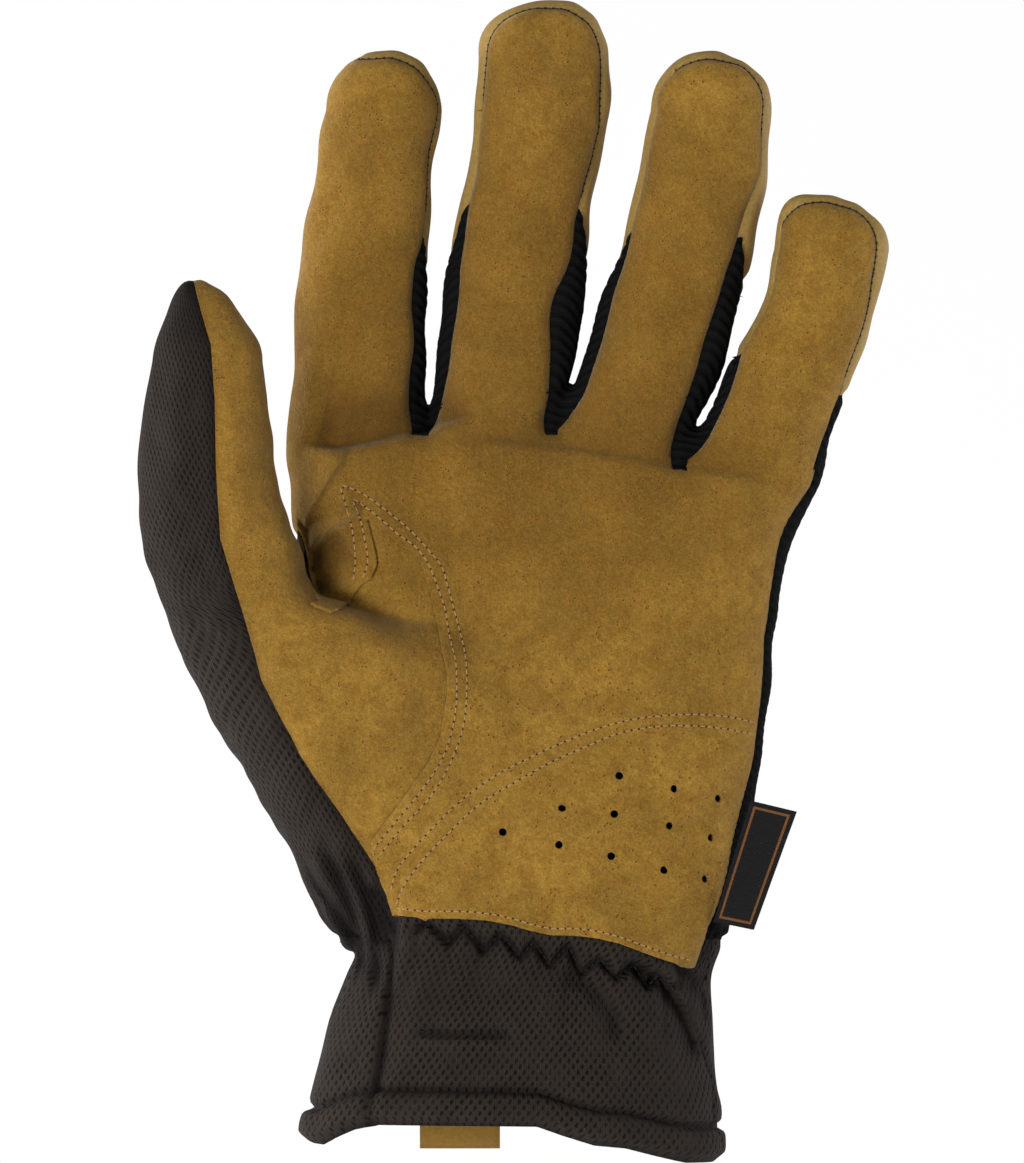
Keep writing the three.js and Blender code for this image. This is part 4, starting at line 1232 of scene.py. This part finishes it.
def stretch(colour):
    """Black stretch cloth with fine slanting ribs."""
    look = Finish("glove_stretch", 0.95, specular_ior_level=0.04)
    here = look.flat_place()
    u, v, _ = look.parts(here)
    rib = ((v + u * RIB["slant"]) * (2 * math.pi / RIB["pitch"])).wave() * 0.5 + 0.5
    fine = ((v * 1.2 - u) * (2 * math.pi / RIB["fine"])).wave() * 0.5 + 0.5
    fuzz = look.noise(here, 0.35, 2.0, 0.7)
    # painted light and shade: lighter on the crests of the ribs raised on the mesh, darker between them,
    # with random fuzz
    base = look.mix(rib * 0.5 + fuzz * 0.5, tone(colour, 0.5), tone(colour, 1.9))
    # painted shade: darker down in the creases and seam dips
    look.feed("Base Color", look.mix(look.crease() * 0.5, base, tone(colour, 0.2)))
    look.feed("Normal", look.bump(fine * 0.4 + fuzz * 0.9, 0.25))
    return look.material


def thread(name, colour):
    look = Finish(name, 0.8, specular_ior_level=0.15)
    look.feed("Base Color", tone(colour, 1.0))
    return look.material


FLOOR_Z = -400.0
FLOOR_RADIUS = 1900.0
CAMERA_AWAY = 5000.0
FRAME_CENTRE = ((PHOTO_SIZE[0] / 2 - ORIGIN_PIXEL[0]) * PIXEL, (ORIGIN_PIXEL[1] - PHOTO_SIZE[1] / 2) * PIXEL)
LIGHTS = [  # place and size in millimetres, and power in watts
    ((-900.0, -1700.0, -300.0), 700.0, 62.0),
    ((-1700.0, 500.0, -100.0), 900.0, 42.0),
    ((1700.0, 500.0, 200.0), 900.0, 24.0),
]
SKY = {"left": 0.2, "up": -0.25, "front": -0.2, "level": 0.8}  # how bright the surroundings are on each side


def add_floor():
    bm = bmesh.new()
    bmesh.ops.create_circle(bm, cap_ends=True, segments=96, radius=FLOOR_RADIUS * MM)
    bmesh.ops.translate(bm, verts=bm.verts, vec=(0, 0, FLOOR_Z * MM))
    look = Finish("floor", 0.9)
    look.feed("Base Color", (0.85, 0.85, 0.85, 1.0))
    floor = as_object(bm, "floor")
    floor.data.materials.append(look.material)


def add_surroundings(scene):
    """Near-white surroundings, a little brighter on one side than on the other."""
    scene.view_settings.view_transform = "Standard"
    world = bpy.data.worlds.new("studio")
    world.use_nodes = True
    nodes, links = world.node_tree.nodes, world.node_tree.links
    where = nodes.new("ShaderNodeTexCoord").outputs["Generated"]
    split = nodes.new("ShaderNodeVectorMath")
    split.operation = "DOT_PRODUCT"
    split.inputs[1].default_value = (-SKY["left"], -SKY["front"], SKY["up"])
    level = nodes.new("ShaderNodeMath")
    level.operation = "ADD"
    level.inputs[1].default_value = SKY["level"]
    links.new(where, split.inputs[0])
    links.new(split.outputs["Value"], level.inputs[0])
    links.new(level.outputs["Value"], nodes["Background"].inputs["Strength"])
    nodes["Background"].inputs["Color"].default_value = (1.0, 1.0, 1.0, 1.0)
    scene.world = world


def add_lights(scene):
    target = Vector((FRAME_CENTRE[0], 0.0, FRAME_CENTRE[1])) * MM
    for number, (spot, size, power) in enumerate(LIGHTS):
        data = bpy.data.lights.new(f"light_{number}", "AREA")
        data.size = size * MM
        data.energy = power
        light = bpy.data.objects.new(data.name, data)
        light.location = Vector(spot) * MM
        light.rotation_euler = (target - light.location).to_track_quat("-Z", "Y").to_euler()
        scene.collection.objects.link(light)


def add_camera(scene):
    """A distant camera that sees the photograph's frame straight from the palm side."""
    data = bpy.data.cameras.new("camera")
    data.sensor_width = 36.0
    data.lens = data.sensor_width * CAMERA_AWAY / (PHOTO_SIZE[1] * PIXEL)
    data.clip_end = 20.0
    camera = bpy.data.objects.new("camera", data)
    camera.location = Vector((FRAME_CENTRE[0], -CAMERA_AWAY, FRAME_CENTRE[1])) * MM
    camera.rotation_euler = (math.pi / 2, 0.0, 0.0)
    scene.collection.objects.link(camera)
    scene.camera = camera


# Rows of stitches as drawn on the picture
LAP_END = [(320, 608), (331, 611), (342, 607)]
LAP_OUTER = [
    (353, 581), (355, 571), (355, 548), (352, 527), (346, 504), (342, 486), (357, 491), (374, 501),
    (392, 515), (409, 529), (427, 548), (442, 567), (448, 586), (456, 616), (466, 659), (467, 690),
    (464, 723), (453, 757), (433, 793), (403, 826), (378, 857),
]  # fmt: skip
LAP_INNER = [
    (363, 579), (368, 562), (365, 539), (360, 517), (354, 500), (367, 508), (382, 520), (398, 534),
    (417, 548), (428, 563), (438, 587), (445, 608), (449, 632), (456, 662), (457, 692), (454, 723),
    (443, 757), (423, 788), (396, 821), (373, 849),
]  # fmt: skip
HEEL_UPPER = [
    (391, 890), (396, 872), (413, 849), (433, 827), (466, 796), (499, 773), (532, 756), (565, 741),
    (598, 728), (632, 719), (665, 715), (698, 714), (731, 717), (757, 723),
]  # fmt: skip
HEEL_LOWER = [
    (396, 904), (406, 882), (426, 856), (449, 832), (479, 804), (516, 781), (552, 761), (586, 746),
    (618, 733), (648, 727), (681, 725), (714, 727), (755, 734),
]  # fmt: skip
FOOT_ROW = [
    (397, 907), (426, 910), (459, 910), (486, 912), (512, 917), (532, 923), (552, 927), (575, 927),
    (598, 930), (618, 935), (645, 945), (668, 953), (692, 960),
]  # fmt: skip
BAR_TACK = [(421, 1038), (421, 1030), (504, 1028), (504, 1037), (421, 1038)]
HEM_HALF = 44.0  # about half the width of the hem
OUTSIDE = 90.0  # this far in front, behind or to a side is outside the glove
FACING_FRONT = -0.35  # where the surface turns further from the viewer no stitch is laid
RIM_TURN_Z = {"index": 196.0, "middle": 199.0, "ring": 192.0, "little": 160.0}
RIM_BACKWARD = 0.6  # the rim's stitches end where the skin turns this far back
RIM_START_X = {"index": 349.0, "middle": 483.0, "ring": 660.0, "little": 781.0}  # pixels across


# Stitches in millimetres: half the thread's thickness, the length, and the height over the surface
Stitch = namedtuple("Stitch", "size length rise")
# dark dots of painted shade at the needle holes
NEEDLE_HOLE = Stitch(0.24, 0.5, -0.06)
RIM_STITCH = Stitch(0.13, 1.5, 0.04)
RIM_KNOT = Stitch(0.32, 0.62, 0.06)
HEM_STITCH = Stitch(0.17, 1.7, 0.0)
ELASTIC_STITCH = Stitch(0.2, 1.4, 0.0)
PITCH = {"rim": 1.7, "hem": 2.1, "elastic": 1.5}


def way_along(points):
    """How far along a line each of its points is."""
    return np.concatenate([[0.0], np.cumsum(np.linalg.norm(np.diff(points, axis=0), axis=1))])


def places_at(points, way, at):
    return np.stack([np.interp(at, way, points[:, axis]) for axis in range(points.shape[1])], 1)


def spread_along(points, pitch):
    """Places one pitch apart along a line, with the direction of the line at each."""
    points = np.array(points, float)
    way = way_along(points)
    count = max(int(way[-1] / pitch), 1)
    at = (np.arange(count) + 0.5) * way[-1] / count
    return places_at(points, way, at), places_at(points, way, at + 0.1) - places_at(points, way, at - 0.1)


def smooth_line(line, step_pixels=3.0):
    """A drawn line as a rounded curve in millimetres of the picture plane."""
    line = np.array(line, float)
    way = way_along(line)
    at = np.arange(0.0, way[-1], step_pixels)
    px, py = (smooth_table(way, line[:, axis], at) for axis in (0, 1))
    return np.stack(from_pixel(px, py), 1)


def fall_on(surface, start, direction):
    """Where a line from a place meets a surface, and the surface's outward direction there."""
    spot, normal, _, _ = surface.ray_cast(Vector(start), Vector(direction), 2 * OUTSIDE)
    if spot is None:
        return None
    return spot, normal if normal.dot(Vector(direction)) < 0 else -normal


def drawn_row(surface, line, pitch, rounded=True):
    """Places for stitches along a drawn line, laid on a surface from the palm side."""
    if rounded:
        flat = smooth_line(line)
    else:
        flat = np.array([from_pixel(px, py) for px, py in line])
    spots = []
    for x, z in flat:
        hit = fall_on(surface, (x, -OUTSIDE, z), (0.0, 1.0, 0.0))
        if hit and hit[1].y < FACING_FRONT:
            spots.append([*hit[0], *hit[1]])
    return spread_along(spots, pitch)


def seam_row(a, b, pitch, finger):
    """Places for stitches along the seam between two pieces, as far as a finger's rim goes."""
    ends = {}
    for e, names in seam_edges(shared_skin()):
        if names == {a, b}:
            one, two = e.verts
            right = pixel_x(min(one.co.x, two.co.x)) > RIM_START_X[finger]
            high = min(one.co.z, two.co.z) > RIM_TURN_Z[finger]
            if right and high and max(one.normal.y, two.normal.y) < RIM_BACKWARD:
                ends.setdefault(one, []).append(two)
                ends.setdefault(two, []).append(one)
    longest = []
    left = set(ends)
    while left:
        start = next((v for v in left if len(ends[v]) == 1), next(iter(left)))
        chain = [start]
        left.discard(start)
        while True:
            following = [v for v in ends[chain[-1]] if v in left]
            if not following:
                break
            chain.append(following[0])
            left.discard(following[0])
        longest = max(longest, chain, key=len)
    if len(longest) < 2:
        raise RuntimeError(f"no seam between {a} and {b}")
    return spread_along([[*v.co, *v.normal] for v in longest], pitch)


def hem_row(pitch):
    """Places for the hem's stitches, all round the cuff. A first try tells how low the hem hangs there."""
    spots = []
    for turn in np.linspace(-math.pi, math.pi, 180, endpoint=False):
        out = Vector((math.sin(turn), -math.cos(turn), 0.0))
        hit = None
        for _ in range(2):
            x = out.x * HEM_HALF if hit is None else hit[0].x
            drop = np.interp(pixel_x(x), HEM_X, HEM_Y) - ORIGIN_PIXEL[1]
            start = Vector((0.5, 0.0, HEM_BAND["high"] - drop * PIXEL)) + out * OUTSIDE
            for name in ("cuff_front", "cuff_back"):
                hit = fall_on(SURFACES[name], start, -out) or hit
        spots.append([*hit[0], *hit[1]])
    return spread_along([*spots, spots[0]], pitch)


def sew(name, rows, look, stitch):
    """Small rounded stitches along rows of places, all copies of one."""
    bm = bmesh.new()
    bmesh.ops.create_uvsphere(bm, u_segments=8, v_segments=5, radius=1.0)
    mesh = bpy.data.meshes.new("stitch")
    bm.to_mesh(mesh)
    bm.clear()
    ball = np.array([v.co for v in mesh.vertices]) * (stitch.length / 2, stitch.size, stitch.size * 0.8)
    for places, ways in rows:
        for here, way in zip(places, ways):
            normal = Vector(here[3:]).normalized()
            along = Vector(way[:3]).normalized()
            across = normal.cross(along).normalized()
            turn = np.array([along, across, along.cross(across)])
            middle = here[:3] + np.array(normal) * stitch.rise
            mesh.vertices.foreach_set("co", (ball @ turn + middle).ravel())
            bm.from_mesh(mesh)
    bpy.data.meshes.remove(mesh)
    return finished(bm, name, None, look)


def halfway(row):
    """The places half way between the stitches of a row."""
    places, ways = row
    return ((places[:-1] + places[1:]) / 2, ways[:-1])


LABEL = {
    "corners": [(750, 800), (796, 811), (753, 929), (713, 921)],
    "y": -11.5, "bend": -1.2, "ripple": 0.25, "thick": 0.7, "edge": 0.12,
    "frame": 1.3, "line": 0.45, "rib": 0.42,
}  # fmt: skip
TAB = {
    "width": 17.2, "x": -11.4, "y": -20.2, "foot": -4.0, "top": 18.0,
    "gap": 1.9, "wall": 1.2, "edge": 0.3, "lean": 4.0,
}  # fmt: skip


def label_corners():
    """The label's corners in the air beside the glove, from the upper left one round."""
    corners = [from_pixel(px, py) for px, py in LABEL["corners"]]
    return [Vector((x, LABEL["y"], z)) for x, z in corners]


def label_size():
    corners = label_corners()
    return (corners[1] - corners[0]).length, (corners[3] - corners[0]).length


def label_piece(look):
    """The woven tag, sewn into the side seam and standing out from it."""
    corners = label_corners()
    width, height = label_size()
    bm = bmesh.new()
    bmesh.ops.create_grid(bm, x_segments=12, y_segments=24, size=0.5)
    layer = bm.loops.layers.uv.new("UVMap")
    for face in bm.faces:
        for loop in face.loops:
            loop[layer].uv = ((loop.vert.co.x + 0.5) * width / 100, (loop.vert.co.y + 0.5) * height / 100)
    for v in bm.verts:
        across, down = v.co.x + 0.5, 0.5 - v.co.y
        top = corners[0].lerp(corners[1], across)
        foot = corners[3].lerp(corners[2], across)
        v.co = top.lerp(foot, down)
        v.co.y += LABEL["bend"] * across * across + LABEL["ripple"] * math.sin(down * 5.0) * across
    bmesh.ops.recalc_face_normals(bm, faces=bm.faces)
    obj = finished(bm, "label_panel", "label", look)
    thicken(obj, LABEL["thick"] * MM, 0.0)
    round_edges(obj, LABEL["edge"] * MM, 2)
    return obj


def tab_piece(look):
    """The leather strap, folded into a flat loop whose fold hangs below the hem."""
    bm = bmesh.new()
    bmesh.ops.create_grid(bm, x_segments=10, y_segments=48, size=0.5)
    gap, high = TAB["gap"] / 2, TAB["top"] - TAB["foot"]
    for v in bm.verts:
        across, way = v.co.x, (v.co.y + 0.5) * 2 - 1
        side = math.copysign(1.0, way)
        along = abs(way) * (high + gap * math.pi / 2)
        if along < gap * math.pi / 2:
            turn = along / gap
            y, z = side * gap * math.sin(turn), TAB["foot"] + gap * (1 - math.cos(turn))
        else:
            y, z = side * gap, TAB["foot"] + gap + along - gap * math.pi / 2
        lean = (z - TAB["foot"]) / high * TAB["lean"]
        v.co = Vector((TAB["x"] + across * TAB["width"], TAB["y"] + y + lean, z))
    bmesh.ops.recalc_face_normals(bm, faces=bm.faces)
    obj = finished(bm, "pull_tab_strap", "pull_tab", look)
    thicken(obj, TAB["wall"] * MM, 0.0)
    round_edges(obj, TAB["edge"] * MM, 3)
    return obj


def woven_label(ground, frame_colour):
    """Black satin weave with a plain frame line and nothing in it."""
    look = Finish("glove_label", 0.8, specular_ior_level=0.1)
    here = look.flat_place()
    u, v, _ = look.parts(here)
    width, height = label_size()
    inset = (u - width / 2).size() - width / 2 + LABEL["frame"]
    inset = inset.maths("MAXIMUM", (v - height / 2).size() - height / 2 + LABEL["frame"])
    line = inset.size().step(LABEL["line"] * 0.75, LABEL["line"] * 0.45)  # with soft edges
    rib = (v * (2 * math.pi / LABEL["rib"])).wave() * 0.5 + 0.5
    # painted light and shade: lighter where the bump raises the weave's ribs, darker between them
    base = look.mix(rib * 0.5, tone(ground, 0.7), tone(ground, 1.7))
    look.feed("Base Color", look.mix(line, base, tone(frame_colour, 1.0)))
    look.feed("Normal", look.bump(rib + line * 0.5, 0.06))
    return look.material


def colour_prop(name, description, default):
    return FloatVectorProperty(
        name=name, description=description, default=default, subtype="COLOR", size=3, min=0.0, max=1.0
    )


def length_prop(name, description, default):
    return FloatProperty(
        name=name, description=description, default=default, subtype="DISTANCE", unit="LENGTH", min=0.0
    )


class GloveColours(PropertyGroup):
    """Colours of the glove's materials."""

    suede: colour_prop("Suede", "Palm, fingers and ball of the thumb", (0.16, 0.086, 0.0135))
    smooth: colour_prop("Smooth leather", "Caps of the fingertips", (0.235, 0.148, 0.038))
    tab: colour_prop("Pull tab", "Leather strap inside the cuff", (0.133, 0.072, 0.0075))
    knit: colour_prop("Knit", "Back of the hand, thumb and cuff", (0.0165, 0.0122, 0.0094))
    stretch: colour_prop("Stretch cloth", "Gussets between the fingers, side strip", (0.004, 0.004, 0.004))
    tan_thread: colour_prop("Tan thread", "Stitches on the palm", (0.27, 0.16, 0.07))
    black_thread: colour_prop("Black thread", "Stitches of the tips and the cuff", (0.008, 0.008, 0.008))
    label: colour_prop("Label", "Ground of the woven label", (0.006, 0.006, 0.006))
    label_frame: colour_prop("Label frame", "Line round the woven label", (0.11, 0.045, 0.015))


class GloveSizes(PropertyGroup):
    """Sizes of the glove's materials and seams."""

    leather_wall: length_prop("Leather", "Thickness of the leather", 0.0013)
    cloth_wall: length_prop("Cloth", "Thickness of the knit and the stretch cloth", 0.0011)
    cuff_wall: length_prop("Cuff", "Thickness of the doubled cuff", 0.0022)
    knit_across: length_prop("Knit hole spacing", "From one pinhole to the next, across", 0.00175)
    knit_up: length_prop("Knit row spacing", "From one row of pinholes to the next alike, upwards", 0.0025)
    stitch_pitch: length_prop("Stitch", "Length of a palm stitch with its needle hole", 0.00165)
    stitch_size: length_prop("Thread radius", "Half the thickness of the palm's thread", 0.00017)


def shared(name, make, *inputs):
    """A material that several pieces share, made when it is first asked for."""
    return bpy.data.materials.get(name) or make(*inputs)


def knit_look(scene):
    sizes = scene.glove_sizes
    return shared("glove_knit", knit, scene.glove_colours.knit, sizes.knit_across / MM, sizes.knit_up / MM)


def black_look(scene):
    return shared("black_thread", thread, "black_thread", scene.glove_colours.black_thread)


class GLOVE_OT_leather(Operator):
    """Add the suede palm with the finger fronts, and the suede front of the thumb"""

    bl_idname = "glove.leather"
    bl_label = "Palm and Thumb Leather"

    def execute(self, context):
        look = shared("glove_suede", suede, context.scene.glove_colours.suede)
        for name in ("palm_leather", "thumb_leather"):
            panel(name, "suede", look, context.scene.glove_sizes.leather_wall)
        return {"FINISHED"}


class GLOVE_OT_knit(Operator):
    """Add the mesh knit over the thumb and over the back of the hand"""

    bl_idname = "glove.knit"
    bl_label = "Knit Back"

    def execute(self, context):
        look, wall = knit_look(context.scene), context.scene.glove_sizes.cloth_wall
        panel("thumb_knit", "knit", look, wall, thumb_map)
        panel("back_knit", "knit", look, wall, back_map)
        return {"FINISHED"}


class GLOVE_OT_cuff(Operator):
    """Add the front and the back of the gathered cuff"""

    bl_idname = "glove.cuff"
    bl_label = "Cuff"

    def execute(self, context):
        for name in ("cuff_front", "cuff_back"):
            panel(name, "knit", knit_look(context.scene), context.scene.glove_sizes.cuff_wall, cuff_map)
        return {"FINISHED"}


class GLOVE_OT_gussets(Operator):
    """Add the ribbed stretch gussets between the fingers, and the strip down the outer side"""

    bl_idname = "glove.gussets"
    bl_label = "Gussets and Side Strip"

    def execute(self, context):
        look = shared("glove_stretch", stretch, context.scene.glove_colours.stretch)
        for name in ["side_strip", *("gusset_" + gap for gap in GAPS)]:
            panel(name, "stretch", look, context.scene.glove_sizes.cloth_wall, gusset_map)
        return {"FINISHED"}


class GLOVE_OT_tips(Operator):
    """Add the smooth leather caps over the backs of the fingertips"""

    bl_idname = "glove.tips"
    bl_label = "Fingertip Caps"

    def execute(self, context):
        look = smooth_leather("glove_caps", context.scene.glove_colours.smooth)
        for name in FINGER_NAMES:
            panel(name + "_tip", "smooth_leather", look, context.scene.glove_sizes.leather_wall)
        return {"FINISHED"}


class GLOVE_OT_label(Operator):
    """Add the blank woven label in the side seam"""

    bl_idname = "glove.label"
    bl_label = "Woven Label"

    def execute(self, context):
        colours = context.scene.glove_colours
        label_piece(woven_label(colours.label, colours.label_frame))
        return {"FINISHED"}


class GLOVE_OT_pull_tab(Operator):
    """Add the folded leather strap inside the front of the cuff"""

    bl_idname = "glove.pull_tab"
    bl_label = "Pull Tab"

    def execute(self, context):
        tab_piece(smooth_leather("glove_tab", context.scene.glove_colours.tab))
        return {"FINISHED"}


class GLOVE_OT_palm_stitches(Operator):
    """Add the rows of tan stitches on the palm, with the painted shade of their needle holes"""

    bl_idname = "glove.palm_stitches"
    bl_label = "Palm Stitches"

    def execute(self, context):
        colours, sizes = context.scene.glove_colours, context.scene.glove_sizes
        palm, pitch = SURFACES["palm_leather"], sizes.stitch_pitch / MM
        lines = (LAP_END, LAP_OUTER, LAP_INNER, HEEL_UPPER, HEEL_LOWER, FOOT_ROW)
        rows = [drawn_row(palm, line, pitch) for line in lines]
        tan = thread("tan_thread", colours.tan_thread)
        stitch = Stitch(sizes.stitch_size / MM, pitch * 0.82, 0.02)
        sew("palm_stitches", rows, tan, stitch)
        # painted shade: dark dots between the stitches stand in for the shade in the needle holes
        hole_shade_look = thread("needle_hole_shade", (0.012, 0.008, 0.004))
        sew("palm_needle_holes", [halfway(row) for row in rows], hole_shade_look, NEEDLE_HOLE)
        return {"FINISHED"}


class GLOVE_OT_rim_stitches(Operator):
    """Add the black stitches round the fingertips"""

    bl_idname = "glove.rim_stitches"
    bl_label = "Fingertip Stitches"

    def execute(self, context):
        black = black_look(context.scene)
        rims = [seam_row("palm_leather", name + "_tip", PITCH["rim"], name) for name in FINGER_NAMES]
        sew("rim_stitches", rims, black, RIM_STITCH)
        sew("rim_knots", [halfway(row) for row in rims], black, RIM_KNOT)
        return {"FINISHED"}


class GLOVE_OT_cuff_stitches(Operator):
    """Add the black stitches of the hem, of the wrist elastic and of the bar tack"""

    bl_idname = "glove.cuff_stitches"
    bl_label = "Cuff Stitches"

    def execute(self, context):
        black, cuff = black_look(context.scene), SURFACES["cuff_front"]
        sew("hem_stitches", [hem_row(PITCH["hem"])], black, HEM_STITCH)
        lines = (ZIGZAG_LINE[1:-1], BAR_TACK)
        elastic = [drawn_row(cuff, line, PITCH["elastic"], rounded=False) for line in lines]
        sew("elastic_stitches", elastic, black, ELASTIC_STITCH)
        return {"FINISHED"}


class GLOVE_OT_studio(Operator):
    """Add the pale floor, the soft lights and the photograph's camera"""

    bl_idname = "glove.studio"
    bl_label = "Studio"

    def execute(self, context):
        add_floor()
        add_surroundings(context.scene)
        add_lights(context.scene)
        add_camera(context.scene)
        return {"FINISHED"}


OPERATORS = (
    GLOVE_OT_leather, GLOVE_OT_knit, GLOVE_OT_cuff, GLOVE_OT_gussets, GLOVE_OT_tips,
    GLOVE_OT_label, GLOVE_OT_pull_tab, GLOVE_OT_palm_stitches, GLOVE_OT_rim_stitches,
    GLOVE_OT_cuff_stitches, GLOVE_OT_studio,
)  # fmt: skip


class VIEW3D_PT_glove(Panel):
    """The glove's settings and the buttons that add its pieces"""

    bl_label = "Work Glove"
    bl_space_type = "VIEW_3D"
    bl_region_type = "UI"
    bl_category = "Glove"

    def draw(self, context):
        layout = self.layout
        for group in (context.scene.glove_colours, context.scene.glove_sizes):
            box = layout.box()
            for name in group.__annotations__:
                box.prop(group, name)
        for operator in OPERATORS:
            layout.operator(operator.bl_idname)


CLASSES = (GloveColours, GloveSizes, *OPERATORS, VIEW3D_PT_glove)


def register():
    for item in CLASSES:
        bpy.utils.register_class(item)
    bpy.types.Scene.glove_colours = PointerProperty(type=GloveColours)
    bpy.types.Scene.glove_sizes = PointerProperty(type=GloveSizes)


def unregister():
    del bpy.types.Scene.glove_sizes
    del bpy.types.Scene.glove_colours
    for item in reversed(CLASSES):
        bpy.utils.unregister_class(item)


def main():
    register()
    bpy.ops.glove.leather()
    bpy.ops.glove.knit()
    bpy.ops.glove.cuff()
    bpy.ops.glove.gussets()
    bpy.ops.glove.tips()
    bpy.ops.glove.label()
    bpy.ops.glove.pull_tab()
    bpy.ops.glove.palm_stitches()
    bpy.ops.glove.rim_stitches()
    bpy.ops.glove.cuff_stitches()
    bpy.ops.glove.studio()


if __name__ == "__main__":
    main()
